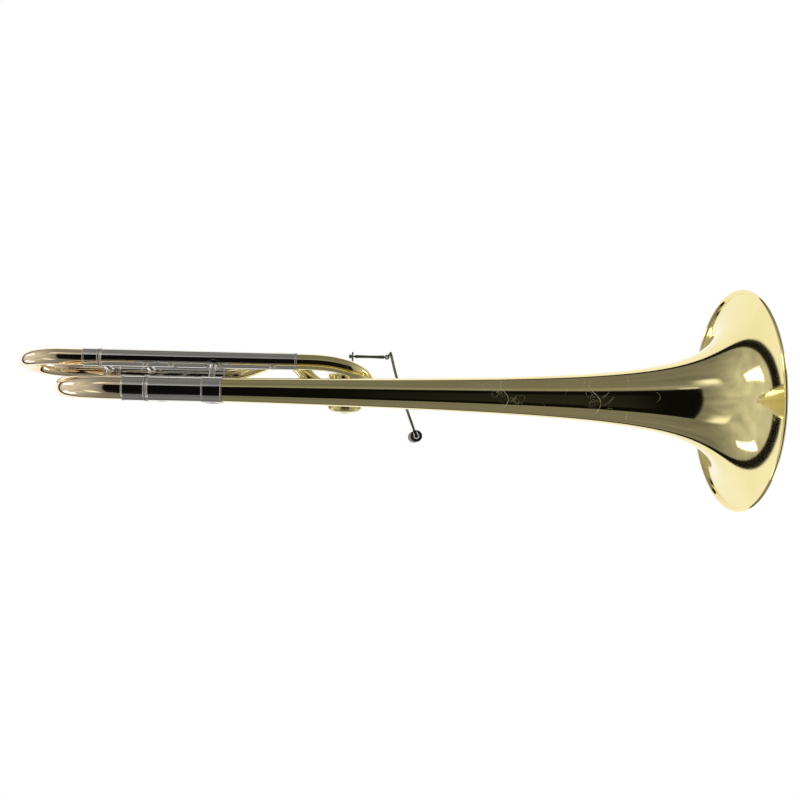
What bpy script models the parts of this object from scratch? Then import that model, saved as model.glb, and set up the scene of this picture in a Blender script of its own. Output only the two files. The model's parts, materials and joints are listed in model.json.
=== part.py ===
# Bell section of a tenor trombone with an open-wrap F attachment.
# Origin: centre of the hand-slide receiver's mouth. +X towards the bell's rim, +Y away from
# the bell, +Z up. Lengths are in metres.
import math

import bmesh
import bpy
from mathutils import Matrix, Vector

mm = 0.001
gap = 0.3 * mm                     # clearance left between touching pieces

# ---- driving dimensions -------------------------------------------------------------------
rim_ahead = 255 * mm               # bell rim ahead of the receiver's mouth
leg_spacing = 106 * mm             # bell axis to neckpipe axis

bell_radius = 108 * mm
bell_length = 498 * mm
flare_depth = 13 * mm              # the bell follows radius = R * (d / (d + distance)) ^ power
flare_power = 0.612
flare_joint = 180 * mm             # brazed joint between the spun flare and the stem
bell_wall = 0.7 * mm
rim_bead = 1.7 * mm

tail_ferrule_end = 517 * mm        # distances behind the rim
main_ring = 568.5 * mm
main_ferrule_end = 590.5 * mm
main_bend_start = 603 * mm
main_insertion = 50 * mm           # inner legs inside the outer sleeves when pushed home

neck_tube_radius = 7.9 * mm
neck_leg_radius = 8.2 * mm
bell_leg_radius = 11.2 * mm
sleeve_wall = 0.55 * mm

f_near_across = 30 * mm            # F slide legs: across from the bell axis, and height
f_near_height = 29.5 * mm
f_far_across = 114.5 * mm
f_far_height = 19 * mm
f_ring = 619 * mm
f_ferrule_end = 634.5 * mm
f_bend_start = 656 * mm
f_near_sleeve_start = 432 * mm
f_far_sleeve_start = 517 * mm
f_insertion = 92 * mm
f_tube_radius = 7.8 * mm
f_wall = 0.7 * mm

valve_behind = 382 * mm            # rotor axis
valve_across = 84.5 * mm
port_height = 4 * mm
rotor_radius = 16.2 * mm
rotor_half_height = 11 * mm
casing_half_height = 16 * mm
casing_wall = 2 * mm
passage_radius = 6.2 * mm

stop_arm_radius = 10.3 * mm        # rotor axis to the link ball
link_height = 39 * mm
socket_radius = 5 * mm
link_behind = 338.6 * mm           # pin at the lever's top that the link's eye turns on
link_eye_radius = 2.6 * mm
link_eye_half = 1.2 * mm
link_pin_radius = 1.1 * mm
lever_route = ((335.2 * mm, 43.5 * mm), (328 * mm, 18 * mm), (316.5 * mm, -15.5 * mm),
               (306.3 * mm, -43 * mm))   # the rod from its top: behind the rim, and height
lever_rod_radius = 1.5 * mm

# ---- derived dimensions -------------------------------------------------------------------
f_sleeve_radius = f_tube_radius + 2 * gap
port_reach = rotor_radius + 0.8 * mm
casing_radius = rotor_radius + gap + casing_wall
port_offset = port_reach * math.sin(math.pi / 4)
knuckle_offset = port_offset + 3 * mm   # where the straight end of each port tube begins
ball_offset = stop_arm_radius * math.sin(math.pi / 4)
lever_across = valve_across + ball_offset
casing_top = port_height + casing_half_height
casing_bottom = port_height - casing_half_height


def place(behind, across=0.0, height=0.0):
    """A point given behind the rim plane, across from the bell axis and above it."""
    return Vector((rim_ahead - behind, across - leg_spacing, height))


def bell_outline(behind):
    return bell_radius * (flare_depth / (behind + flare_depth)) ** flare_power


# ---- materials ----------------------------------------------------------------------------
def metal(name, colour, roughness, metallic=1.0):
    material = bpy.data.materials.new(name)
    material.use_nodes = True
    shader = material.node_tree.nodes["Principled BSDF"]
    shader.inputs["Base Color"].default_value = (*colour, 1.0)
    shader.inputs["Roughness"].default_value = roughness
    shader.inputs["Metallic"].default_value = metallic
    return material


# ---- shape helpers ------------------------------------------------------------------------
def skin(name, rings, material, capped):
    """Join rings of points into one closed body, either capped at both ends or looped."""
    mesh_builder = bmesh.new()
    loops = [[mesh_builder.verts.new(point) for point in ring] for ring in rings]
    following = loops[1:] if capped else loops[1:] + loops[:1]
    for first, second in zip(loops, following):
        for index in range(len(first)):
            after = (index + 1) % len(first)
            mesh_builder.faces.new((first[index], first[after], second[after], second[index]))
    if capped:
        mesh_builder.faces.new(loops[0])
        mesh_builder.faces.new(loops[-1])
    bmesh.ops.recalc_face_normals(mesh_builder, faces=mesh_builder.faces)
    mesh = bpy.data.meshes.new(name)
    mesh_builder.to_mesh(mesh)
    mesh_builder.free()
    mesh.shade_smooth()
    mesh.set_sharp_from_angle(angle=math.radians(35))
    mesh.materials.append(material)
    piece = bpy.data.objects.new(name, mesh)
    bpy.context.collection.objects.link(piece)
    return piece


def ring_at(centre, side, up, radius, sides):
    angles = [2 * math.pi * step / sides for step in range(sides)]
    return [centre + radius * (math.cos(a) * side + math.sin(a) * up) for a in angles]


def cross_axes(direction):
    """Two unit vectors at right angles to a direction, the second as near +Z as it can be."""
    reference = Vector((0, 0, 1)) if abs(direction.z) < 0.9 else Vector((1, 0, 0))
    side = direction.cross(reference).normalized()
    return side, side.cross(direction).normalized()


def turned(name, base, direction, profile, material, capped=False, sides=16):
    """A turned piece: the profile is (distance along the axis, radius) pairs."""
    side, up = cross_axes(direction)
    rings = [ring_at(base + along * direction, side, up, radius, sides)
             for along, radius in profile]
    return skin(name, rings, material, capped)


def leg_piece(name, across, height, profile, material, sides=16):
    """A hollow turned piece on an axis along X: the profile's distances are behind the rim."""
    return turned(name, place(0, across, height), Vector((-1, 0, 0)), profile, material,
                  sides=sides)


def pipe(start, end, outer, inner):
    """The profile of a plain straight pipe."""
    return [(start, outer), (end, outer), (end, inner), (start, inner)]


def ferrule(start, end, outer, inner, bead=0.5 * mm):
    """The profile of a ferrule with a raised bead at each end."""
    width = 1.2 * mm
    step = 0.4 * mm
    return [(start, outer + bead), (start + width, outer + bead), (start + width + step, outer),
            (end - width - step, outer), (end - width, outer + bead), (end, outer + bead),
            (end, inner), (start, inner)]


def sweep(name, path, radii, material, wall=None, sides=16):
    """A round tube along a path, hollow where a wall thickness is given."""
    count = len(path)
    tangents = [(path[min(i + 1, count - 1)] - path[max(i - 1, 0)]).normalized()
                for i in range(count)]
    side, up = cross_axes(tangents[0])
    axes = [(side, up)]
    for before, after in zip(tangents, tangents[1:]):
        turn = before.rotation_difference(after)
        side, up = turn @ side, turn @ up
        axes.append((side, up))
    outer = [ring_at(p, s, u, r, sides) for p, (s, u), r in zip(path, axes, radii)]
    if wall is None:
        return skin(name, outer, material, capped=True)
    inner = [ring_at(p, s, u, r - wall, sides) for p, (s, u), r in zip(path, axes, radii)]
    return skin(name, outer + inner[::-1], material, capped=False)


def rod(name, start, end, radius, material, sides=10):
    return sweep(name, [start, end], [radius, radius], material, sides=sides)


def even(first, last, count):
    """Evenly spaced values from first to last."""
    return [first + (last - first) * step / (count - 1) for step in range(count)]


def smooth_path(points, steps):
    """A Catmull-Rom curve through hand-chosen points."""
    ends = [2 * points[0] - points[1]] + points + [2 * points[-1] - points[-2]]
    path = []
    for a, b, c, d in zip(ends, ends[1:], ends[2:], ends[3:]):
        for step in range(steps):
            t = step / steps
            path.append(0.5 * (2 * b + (c - a) * t + (2 * a - 5 * b + 4 * c - d) * t * t
                               + (3 * b - a - 3 * c + d) * t ** 3))
    return path + [points[-1]]


def helper(piece):
    """Mark a shape that only cuts or extends another."""
    piece.hide_render = True
    piece.display_type = "WIRE"
    return piece


def combine(target, tool, operation):
    step = target.modifiers.new(operation.lower(), "BOOLEAN")
    step.operation = operation
    step.solver = "EXACT"
    step.object = helper(tool)


def set_pivot(piece, pivot):
    """Move a piece's origin to its joint's axis and leave its shape where it is."""
    piece.data.transform(Matrix.Translation(-pivot))
    piece.location = pivot


def saddle(name, centre, outward, tube_radius, length, material, spread=40, lean=0):
    """A plate curved round a tube along X: the foot of a brace. Angles are in degrees."""
    inner = tube_radius + 2.1 * gap
    outer = inner + 1.0 * mm
    along = Vector((1, 0, 0))
    across = along.cross(outward).normalized()
    angles = even(-spread, spread, 5)
    rims = []
    for offset in even(-length / 2, length / 2, 5):
        narrow = 1 - 0.55 * (2 * abs(offset) / length) ** 2
        turns = [math.radians(lean + angle * narrow) for angle in angles]
        spokes = [math.cos(turn) * outward + math.sin(turn) * across for turn in turns]
        middle = centre + offset * along
        rims.append([middle + outer * spoke for spoke in spokes]
                    + [middle + inner * spoke for spoke in reversed(spokes)])
    return skin(name, rims, material, capped=True)


def brace(name, ends, material, foot=22 * mm, spread=(40, 40), lean=0):
    """A brace between two tubes along X. Each end is (point on the tube's axis, its radius).
    The first foot can lean round its tube."""
    rod_radius = 2.6 * mm
    (first, first_radius), (second, second_radius) = ends
    reach = (second - first).normalized()
    sink = 0.9 * mm
    start = first + reach * (first_radius + gap + sink)
    end = second - reach * (second_radius + gap + sink)
    span = (end - start).length
    boss = rod_radius * 1.7
    profile = [(0, boss), (3 * mm, boss), (5.5 * mm, rod_radius)]
    if span > 20 * mm:
        profile += [(span / 2 - 3 * mm, rod_radius), (span / 2, rod_radius * 1.35),
                    (span / 2 + 3 * mm, rod_radius)]
    if span < 12 * mm:
        profile = [(0, boss)]
        profile += [(span, boss)]
    else:
        profile += [(span - 5.5 * mm, rod_radius), (span - 3 * mm, boss), (span, boss)]
    piece = turned(name, start, reach, profile, material, capped=True, sides=10)
    combine(piece, saddle(name + "_start", first, reach, first_radius, foot, material,
                          spread[0], lean), "UNION")
    combine(piece, saddle(name + "_end", second, -reach, second_radius, foot, material,
                          spread[1]), "UNION")
    return piece


# ---- bell ---------------------------------------------------------------------------------
def make_bell(brass):
    stations = [d * mm for d in (0, 4, 9, 16, 26, 40, 60, 85, 115, 146)]
    stations.append(flare_joint)
    outer = [(d, bell_outline(d)) for d in stations]
    bead = [(rim_bead * (1 - math.cos(a)), bell_radius - rim_bead + rim_bead * math.sin(a))
            for a in even(0, math.pi / 2, 4)]
    inner = [(d, bell_outline(d) - bell_wall) for d in stations[1:]]
    lip = [(rim_bead * 2, bell_outline(rim_bead * 2) - bell_wall - rim_bead),
           (0, bell_radius - 2 * rim_bead)]
    profile = bead + [point for point in outer if point[0] > 2 * rim_bead] + inner[::-1] + lip
    leg_piece("bell_flare", 0, 0, profile, brass, sides=40)

    tail = tail_ferrule_end - 8 * mm
    stem = [flare_joint + gap] + even(flare_joint + 40 * mm, tail, 6)
    outer = [(d, bell_outline(d)) for d in stem]
    inner = [(d, bell_outline(d) - bell_wall) for d in reversed(stem)]
    leg_piece("bell_stem", 0, 0, outer + inner, brass, sides=20)


# ---- main tuning slide --------------------------------------------------------------------
def outer_sleeve(name, across, height, start, ring_end, leg_radius, nickel):
    """A slide's outer sleeve, with a raised ring at its open end."""
    inner = leg_radius + gap
    outer = inner + sleeve_wall
    ring = outer + 1.0 * mm
    ring_width = 2.4 * mm
    profile = [(start, outer), (ring_end - ring_width, outer),
               (ring_end - ring_width + 0.6 * mm, ring), (ring_end - 0.6 * mm, ring),
               (ring_end, outer), (ring_end, inner), (start, inner)]
    leg_piece(name, across, height, profile, nickel)


def make_main_slide(brass, nickel):
    inner_leg = {"bell": bell_leg_radius - 0.2 * mm, "neck": neck_leg_radius - 0.05 * mm}
    sleeve_start = {"bell": tail_ferrule_end - 8 * mm + gap, "neck": 486 * mm}
    crook_radius = {"bell": bell_leg_radius, "neck": neck_leg_radius}
    across = {"bell": 0.0, "neck": leg_spacing}
    joint_at = main_ring + 11 * mm
    for end in ("bell", "neck"):
        outer_sleeve("main_outer_sleeve_" + end, across[end], 0, sleeve_start[end], main_ring,
                     inner_leg[end], nickel)
        leg_piece("main_inner_leg_" + end, across[end], 0,
                  pipe(main_ring - main_insertion, joint_at, inner_leg[end],
                       inner_leg[end] - sleeve_wall), nickel)
        leg_piece("main_slide_ferrule_" + end, across[end], 0,
                  ferrule(main_ring + gap, main_ferrule_end, crook_radius[end] + 0.9 * mm,
                          crook_radius[end] + gap), nickel)
    leg_piece("bell_tail_ferrule", 0, 0,
              ferrule(bell_length, tail_ferrule_end, bell_leg_radius + 1.2 * mm,
                      bell_leg_radius + 0.95 * mm, 0.4 * mm), nickel)
    leg_piece("neck_side_ferrule", leg_spacing, 0,
              ferrule(478 * mm, 494 * mm, neck_leg_radius + 1.5 * mm,
                      neck_leg_radius + 1.1 * mm, 0.4 * mm), nickel)

    bend = leg_spacing / 2
    path = [place(joint_at + gap)]
    path += [place(main_bend_start + bend * math.sin(a), bend * (1 - math.cos(a)))
             for a in even(0, math.pi, 13)]
    path.append(place(joint_at + gap, leg_spacing))
    radii = even(bell_leg_radius, neck_leg_radius, len(path))
    sweep("main_crook", path, radii, brass, wall=bell_wall)
    brace_at = main_ring + 11 * mm
    brace("main_slide_brace",
          ((place(brace_at), bell_leg_radius + 1.4 * mm),
           (place(brace_at, leg_spacing), neck_leg_radius + 1.4 * mm)), nickel, foot=14 * mm)


# ---- F attachment -------------------------------------------------------------------------
def make_f_slide(brass, nickel):
    legs = {"near": (f_near_across, f_near_height, f_near_sleeve_start),
            "far": (f_far_across, f_far_height, f_far_sleeve_start)}
    inner_leg = f_tube_radius - gap
    joint_at = f_ring + 8 * mm
    for end, (across, height, start) in legs.items():
        outer_sleeve("f_outer_sleeve_" + end, across, height, start, f_ring, inner_leg, nickel)
        leg_piece("f_inner_leg_" + end, across, height,
                  pipe(f_ring - f_insertion, joint_at, inner_leg, inner_leg - sleeve_wall),
                  nickel)
        leg_piece("f_slide_ferrule_" + end, across, height,
                  ferrule(f_ring + gap, f_ferrule_end, f_tube_radius + 0.8 * mm,
                          f_tube_radius + gap, 0.4 * mm), nickel)
    near_seam = ferrule(f_near_sleeve_start - 4 * mm, f_near_sleeve_start + 2 * mm,
                        f_sleeve_radius + 0.5 * mm, f_sleeve_radius + gap / 2, 0.3 * mm)
    leg_piece("f_near_ferrule", f_near_across, f_near_height, near_seam, nickel)
    far_seam = ferrule(508 * mm, 525 * mm, f_sleeve_radius + 0.6 * mm,
                       f_sleeve_radius + gap / 2, 0.4 * mm)
    leg_piece("f_far_ferrule", f_far_across, f_far_height, far_seam, nickel)

    near = place(f_bend_start, f_near_across, f_near_height)
    far = place(f_bend_start, f_far_across, f_far_height)
    middle = (near + far) / 2
    half = (far - near) / 2
    back = Vector((-half.length, 0, 0))
    path = [place(joint_at + gap, f_near_across, f_near_height)]
    path += [middle - math.cos(a) * half + math.sin(a) * back for a in even(0, math.pi, 13)]
    path.append(place(joint_at + gap, f_far_across, f_far_height))
    sweep("f_crook", path, [f_tube_radius] * len(path), brass, wall=f_wall)
    brace_at = f_ring + 8 * mm
    brace("f_slide_brace",
          ((place(brace_at, f_near_across, f_near_height), f_tube_radius + 1.3 * mm),
           (place(brace_at, f_far_across, f_far_height), f_tube_radius + 1.3 * mm)),
          nickel, foot=12 * mm)


def make_f_tubes(brass):
    # From the near leg forward, round and down into the valve's near front port.
    run = valve_across - knuckle_offset - f_near_across
    turn = math.radians(135)
    bend = run / (1 - math.cos(turn))
    bend_start = valve_behind - knuckle_offset + bend * math.sin(turn)
    straight = f_near_sleeve_start - gap - bend_start
    late_fall = 1.8                    # above 1, the tube falls more towards the valve

    def height_after(travel):
        part = (travel / (straight + bend * turn)) ** late_fall
        return f_near_height + (port_height - f_near_height) * part * part * (3 - 2 * part)

    path = [place(bend_start + straight - travel, f_near_across, height_after(travel))
            for travel in even(0, 0.75 * straight, 4)]
    for angle in even(0, turn, 10):
        path.append(place(bend_start - bend * math.sin(angle),
                          f_near_across + bend * (1 - math.cos(angle)),
                          height_after(straight + bend * angle)))
    path.append(place(valve_behind - port_offset, valve_across - port_offset, port_height))
    sweep("f_near_bend", path, [f_tube_radius] * len(path), brass, wall=f_wall)

    # From the near rear port up and over to the far leg.
    out = 7 * mm
    route = [place(valve_behind + knuckle_offset, valve_across - knuckle_offset, port_height),
             place(valve_behind + knuckle_offset + out, valve_across - knuckle_offset - out,
                   port_height + 0.5 * mm),
             place(417 * mm, 57 * mm, 13 * mm),
             place(431 * mm, 63.5 * mm, 28 * mm),
             place(450 * mm, 82 * mm, 33.5 * mm),
             place(468 * mm, 99.5 * mm, 28.5 * mm),
             place(487 * mm, f_far_across - 3 * mm, f_far_height + 3 * mm),
             place(502 * mm, f_far_across, f_far_height),
             place(f_far_sleeve_start - gap, f_far_across, f_far_height)]
    path = [place(valve_behind + port_offset, valve_across - port_offset, port_height)]
    path += smooth_path(route, 3)
    sweep("f_far_tube", path, [f_tube_radius] * len(path), brass, wall=f_wall, sides=12)


# ---- neckpipe, receiver and the tube to the main slide ------------------------------------
def port_bend(sign, far_end, radius_at_end):
    """The path from a far-side port to the neck axis, and its radii."""
    bend = (leg_spacing - valve_across - knuckle_offset) / (1 - math.cos(math.pi / 4))
    path = [place(valve_behind + sign * port_offset, valve_across + port_offset, port_height)]
    for angle in even(math.pi / 4, 0, 5):
        shift = knuckle_offset + bend * (math.sin(math.pi / 4) - math.sin(angle))
        part = angle / (math.pi / 4)
        path.append(place(valve_behind + sign * shift,
                          leg_spacing - bend * (1 - math.cos(angle)),
                          port_height * part * part * (3 - 2 * part)))
    path.append(place(far_end, leg_spacing))
    radii = [neck_tube_radius] * (len(path) - 1) + [radius_at_end]
    return path, radii


def make_neck(brass, nickel):
    path, radii = port_bend(1, 486 * mm - gap, neck_leg_radius + 0.5 * mm)
    sweep("valve_to_slide_tube", path, radii, brass, wall=f_wall)
    receiver_back = rim_ahead + 42 * mm
    path, radii = port_bend(-1, receiver_back - 8 * mm, neck_tube_radius)
    sweep("neckpipe", path, radii, brass, wall=f_wall)

    mouth = rim_ahead
    body = 11 * mm
    socket = [(mouth, 9.9 * mm), (mouth + 33 * mm, 8.6 * mm)]
    collar = 12.6 * mm
    profile = [(mouth, body), (mouth + 3 * mm, body), (mouth + 3 * mm, collar),
               (mouth + 6 * mm, collar), (mouth + 6 * mm, body), (mouth + 31 * mm, body),
               (mouth + 36 * mm, neck_tube_radius + 1.4 * mm),
               (receiver_back, neck_tube_radius + 0.9 * mm),
               (receiver_back, neck_tube_radius + gap), (mouth + 33 * mm, neck_tube_radius + gap)]
    leg_piece("slide_receiver", leg_spacing, 0, profile + socket[::-1], nickel)

    # A free-turning nut, held by the receiver's collar, whose thread takes the hand slide.
    nut = 15 * mm
    front = mouth - 9 * mm
    back = mouth + 13 * mm
    grip = [(front, nut - 0.8 * mm), (front + 1.5 * mm, nut)]
    for groove in range(3):
        groove_at = front + (5 + 5 * groove) * mm
        grip += [(groove_at, nut), (groove_at + 0.5 * mm, nut - 0.6 * mm),
                 (groove_at + 1.0 * mm, nut)]
    grip += [(back - 1.5 * mm, nut), (back, nut - 0.8 * mm)]
    inside = [(back, body + gap), (mouth + 6 * mm + gap, body + gap),
              (mouth + 6 * mm + gap, collar + gap), (front, collar + gap)]
    leg_piece("lock_nut", leg_spacing, 0, grip + inside, nickel)


# ---- rotary valve -------------------------------------------------------------------------
def make_valve(brass, nickel, steel, rubber):
    axis = place(valve_behind, valve_across)
    up = Vector((0, 0, 1))

    def upright(name, profile, material, capped=False, sides=24):
        return turned(name, axis, up, profile, material, capped=capped, sides=sides)

    bore = rotor_radius + gap
    floor = port_height - rotor_half_height - 2 * gap
    casing = upright("valve_casing",
                     [(casing_bottom, casing_radius), (casing_top, casing_radius),
                      (casing_top, bore), (casing_bottom + 1 * mm, bore),
                      (casing_bottom + 1 * mm, bore - 1 * mm), (casing_bottom, bore - 1 * mm)],
                     brass)
    for turn in range(4):
        heading = math.pi / 4 + turn * math.pi / 2
        outward = Vector((math.cos(heading), math.sin(heading), 0))
        middle = axis + port_height * up
        cutter = rod("port_cutter_%d" % turn, middle + outward * (rotor_radius * 0.7),
                     middle + outward * (casing_radius * 1.3), f_tube_radius + 2 * gap, brass,
                     sides=16)
        combine(casing, cutter, "DIFFERENCE")

    # The lower bearing plate closes the casing's floor and carries the rotor's lower spindle.
    spindle = 3.2 * mm
    upright("lower_bearing_plate",
            [(casing_bottom + 1 * mm + gap, bore - gap), (floor, bore - gap),
             (floor, spindle + gap), (casing_bottom + 1 * mm + gap, spindle + gap)], nickel)
    rotor_top = port_height + rotor_half_height
    upright("upper_bearing_plate",
            [(rotor_top + gap, bore - gap), (casing_top - 0.5 * mm, bore - gap),
             (casing_top - 0.5 * mm, 6 * mm), (casing_top + 3 * mm, 6 * mm),
             (casing_top + 3 * mm, spindle + gap), (rotor_top + gap, spindle + gap)], nickel)
    stem_top = casing_top + 10 * mm
    rotor = upright("rotor",
                    [(casing_bottom - 1 * mm, spindle),
                     (port_height - rotor_half_height, spindle),
                     (port_height - rotor_half_height, rotor_radius),
                     (rotor_top, rotor_radius), (rotor_top, spindle), (stem_top, spindle)],
                    brass, capped=True)
    closest = 8.9 * mm
    for side in (1, -1):
        # Each passage turns the air from one port to the next in a bow round the spindle.
        half_chord = rotor_radius * math.sin(math.pi / 4) * 1.12
        path = [axis + Vector((x * half_chord, side * (closest + (half_chord - closest)
                                                       * x * x), port_height))
                for x in even(-1, 1, 9)]
        cutter = sweep("passage_cutter_%d" % side, path, [passage_radius] * len(path), brass,
                       sides=14)
        combine(rotor, cutter, "DIFFERENCE")
    set_pivot(rotor, axis)

    cap_rim = casing_bottom - gap
    upright("bottom_cap",
            [(cap_rim, casing_radius - 1.2 * mm), (cap_rim - 4.5 * mm, casing_radius - 1.2 * mm),
             (cap_rim - 6.2 * mm, casing_radius - 3.2 * mm), (cap_rim - 6.6 * mm, 6 * mm),
             (cap_rim - 8.2 * mm, 4.6 * mm), (cap_rim - 8.4 * mm, 1.2 * mm),
             (cap_rim - 6.0 * mm, 1.2 * mm), (cap_rim - 5.0 * mm, casing_radius - 5 * mm),
             (cap_rim, casing_radius - 3 * mm)], brass)

    stop_floor = casing_top + gap
    stop_plate = upright("stop_plate",
                         [(stop_floor, casing_radius - 0.3 * mm),
                          (stop_floor + 1.6 * mm, casing_radius - 0.3 * mm),
                          (stop_floor + 1.6 * mm, casing_radius - 6 * mm),
                          (stop_floor, casing_radius - 6 * mm)], brass)
    # The arm's tail swings between two bumpers on the side away from the link.
    for index, label in enumerate(("rest", "pressed")):
        heading = math.radians(-90 + (-65, 65)[index])
        outward = Vector((math.cos(heading), math.sin(heading), 0))
        seat = axis + outward * (casing_radius - 3.2 * mm) + up * (stop_floor + 1.6 * mm)
        post = turned("bumper_post_%d" % index, seat - up * 0.8 * mm, up,
                      [(0, 2.6 * mm), (2.2 * mm, 2.6 * mm)], brass, capped=True, sides=12)
        combine(stop_plate, post, "UNION")
        turned("bumper_" + label, seat + up * (1.4 * mm + gap), up,
               [(0, 2.3 * mm), (0.4 * mm, 2.7 * mm), (3.8 * mm, 2.7 * mm), (4.2 * mm, 2.3 * mm)],
               rubber, capped=True, sides=14)

    # Stop arm: a hub on the spindle, an arm to the link ball and a short tail.
    hub_low = casing_top + 3 * mm + gap
    hub_high = hub_low + 5 * mm
    hub = upright("stop_arm",
                  [(hub_low, 6.2 * mm), (hub_high, 6.2 * mm), (hub_high, spindle + gap),
                   (hub_low, spindle + gap)], steel, sides=20)
    ball_heading = Vector((math.cos(math.pi / 4), math.sin(math.pi / 4), 0))
    arm_height = (hub_low + hub_high) / 2
    ball = axis + ball_heading * stop_arm_radius
    arm = sweep("arm_blank", [axis + ball_heading * 4.6 * mm + up * arm_height,
                              ball + up * arm_height], [2.2 * mm, 2.2 * mm], steel, sides=10)
    combine(hub, arm, "UNION")
    stud = turned("stud_blank", ball, up,
                  [(arm_height - 2.8 * mm, 2.4 * mm), (arm_height + 2.8 * mm, 2.4 * mm),
                   (arm_height + 4 * mm, 1.6 * mm),
                   (link_height - socket_radius - gap, 1.6 * mm)],
                  steel, capped=True, sides=12)
    combine(hub, stud, "UNION")
    tail = sweep("tail_blank", [axis - ball_heading * 4.6 * mm + up * arm_height,
                                axis - ball_heading * 12.5 * mm + up * arm_height],
                 [2.0 * mm, 1.7 * mm], steel, sides=10)
    combine(hub, tail, "UNION")
    set_pivot(hub, axis)
    screw = upright("rotor_screw",
                    [(stem_top + gap, 1.5 * mm), (stem_top + gap, 4.2 * mm),
                     (stem_top + 1.8 * mm, 4.2 * mm), (stem_top + 2.4 * mm, 3.2 * mm)],
                    steel, capped=True, sides=16)
    set_pivot(screw, axis)


# ---- thumb lever and link -----------------------------------------------------------------
def make_lever(steel, brass, black, pad_grey):
    route = [place(behind, lever_across, height) for behind, height in lever_route]
    top, upper, lower, bottom = route
    pivot = upper.lerp(lower, upper.z / (upper.z - lower.z))
    sideways = Vector((0, 1, 0))
    # The rod leans clear of the link's eye, and its short hook carries the link's pin.
    link_joint = place(link_behind, lever_across, link_height)
    clear_of_eye = -sideways * 4.6 * mm
    top = top + clear_of_eye
    near_button = bottom.lerp(lower, 0.05)
    path = smooth_path([top, upper, lower, near_button], 4)
    lever = sweep("thumb_lever", path, [lever_rod_radius] * len(path), steel, sides=10)
    hook_start = top - Vector((0.2, 0, 1.0)) * mm
    hook_end = link_joint + clear_of_eye * 0.85
    combine(lever, rod("hook_blank", hook_start, hook_end, 1.2 * mm, steel), "UNION")
    combine(lever, rod("pin_blank", link_joint + clear_of_eye, link_joint + sideways * 2.4 * mm,
                       link_pin_radius, steel, sides=12), "UNION")
    pin_radius = 1.7 * mm
    eye_half = 1.9 * mm
    eye = turned("eye_blank", pivot, sideways, [(-eye_half, 4.4 * mm), (eye_half, 4.4 * mm)],
                 steel, capped=True)
    combine(lever, eye, "UNION")
    eye_hole = rod("eye_hole", pivot - sideways * 5 * mm, pivot + sideways * 5 * mm,
                   pin_radius + gap, steel, sides=16)
    combine(lever, eye_hole, "DIFFERENCE")
    set_pivot(lever, pivot)

    # The pivot pin stands on a foot curved round the neckpipe.
    def beside(depth):
        return Vector((pivot.x, depth, pivot.z))

    plate_at = -neck_tube_radius - gap
    inner_face = pivot.y + eye_half + gap
    pin_end = pivot.y - eye_half - 4.2 * mm
    post = turned("lever_saddle", beside(plate_at - 0.5 * mm), -sideways,
                  [(0, 4.2 * mm), (plate_at - 0.5 * mm - inner_face, 4.2 * mm)],
                  brass, capped=True)
    plate = saddle("saddle_blank", beside(0), -sideways, neck_tube_radius, 16 * mm, brass,
                   spread=48)
    combine(post, plate, "UNION")
    combine(post, rod("pin_blank", beside(inner_face + 0.5 * mm), beside(pin_end), pin_radius,
                      brass, sides=16), "UNION")
    turned("pivot_screw", beside(pin_end - gap), -sideways,
           [(0, 3.6 * mm), (1.4 * mm, 3.6 * mm), (2.0 * mm, 2.6 * mm)], steel, capped=True)

    # A hairpin spring coiled on the pin, one arm on the lever and one on the foot.
    wire = 0.4 * mm
    coil_radius = pin_radius + wire + gap
    coil_start = pivot.y - eye_half - gap - wire
    coil = []
    for step in range(29):
        angle = 2 * math.pi * step / 10
        coil.append(Vector((pivot.x + coil_radius * math.cos(angle),
                            coil_start - step / 10 * 2.3 * wire,
                            pivot.z + coil_radius * math.sin(angle))))
    inner_arm = Vector((pivot.x + coil_radius, coil_start, pivot.z - 12 * mm))
    outer_arm = coil[-1] + Vector((6 * mm, 0, -7 * mm))
    path = [inner_arm] + coil + [outer_arm]
    sweep("lever_spring", path, [wire] * len(path), steel, sides=6)

    # The button the thumb presses, and the softer pad behind it.
    button = turned("thumb_button", bottom, sideways,
                    [(-4.4 * mm, 5.2 * mm), (-3.6 * mm, 6.2 * mm),
                     (-lever_rod_radius - gap, 6.2 * mm)], black, capped=True, sides=20)
    set_pivot(button, pivot)
    pad = turned("thumb_pad", bottom + Vector((-2.5 * mm, 0, -1.5 * mm)), sideways,
                 [(lever_rod_radius + gap, 5.8 * mm), (lever_rod_radius + 4.2 * mm, 5.8 * mm),
                  (lever_rod_radius + 5.0 * mm, 4.8 * mm)],
                 pad_grey, capped=True, sides=20)
    set_pivot(pad, pivot)

    # The link: an eye on the lever's pin, a thin rod along X, and the socket over the ball.
    ball = place(valve_behind - ball_offset, lever_across, link_height)
    toward = (ball - link_joint).normalized()
    rod_start = link_eye_radius - 0.4 * mm
    length = (ball - link_joint).length
    link = turned("link_rod", link_joint, toward,
                  [(rod_start, 1.0 * mm), (rod_start + 1.2 * mm, 1.8 * mm),
                   (rod_start + 6 * mm, 1.7 * mm), (length / 2, 1.4 * mm),
                   (length - 8 * mm, 1.6 * mm), (length - 3 * mm, 1.7 * mm),
                   (length - 1.4 * mm, 1.2 * mm), (length - 1.0 * mm, socket_radius),
                   (length + 1.0 * mm, socket_radius), (length + 1.4 * mm, 2.4 * mm),
                   (length + 4.0 * mm, 1.8 * mm)],
                  steel, capped=True, sides=12)
    eye_faces = [(-link_eye_half, link_eye_radius), (link_eye_half, link_eye_radius)]
    link_eye = turned("link_eye_blank", link_joint, sideways, eye_faces, steel, capped=True)
    combine(link, link_eye, "UNION")
    combine(link, rod("link_eye_hole", link_joint - sideways * 3 * mm,
                      link_joint + sideways * 3 * mm, link_pin_radius + gap, steel, sides=12),
            "DIFFERENCE")
    set_pivot(link, link_joint)


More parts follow.
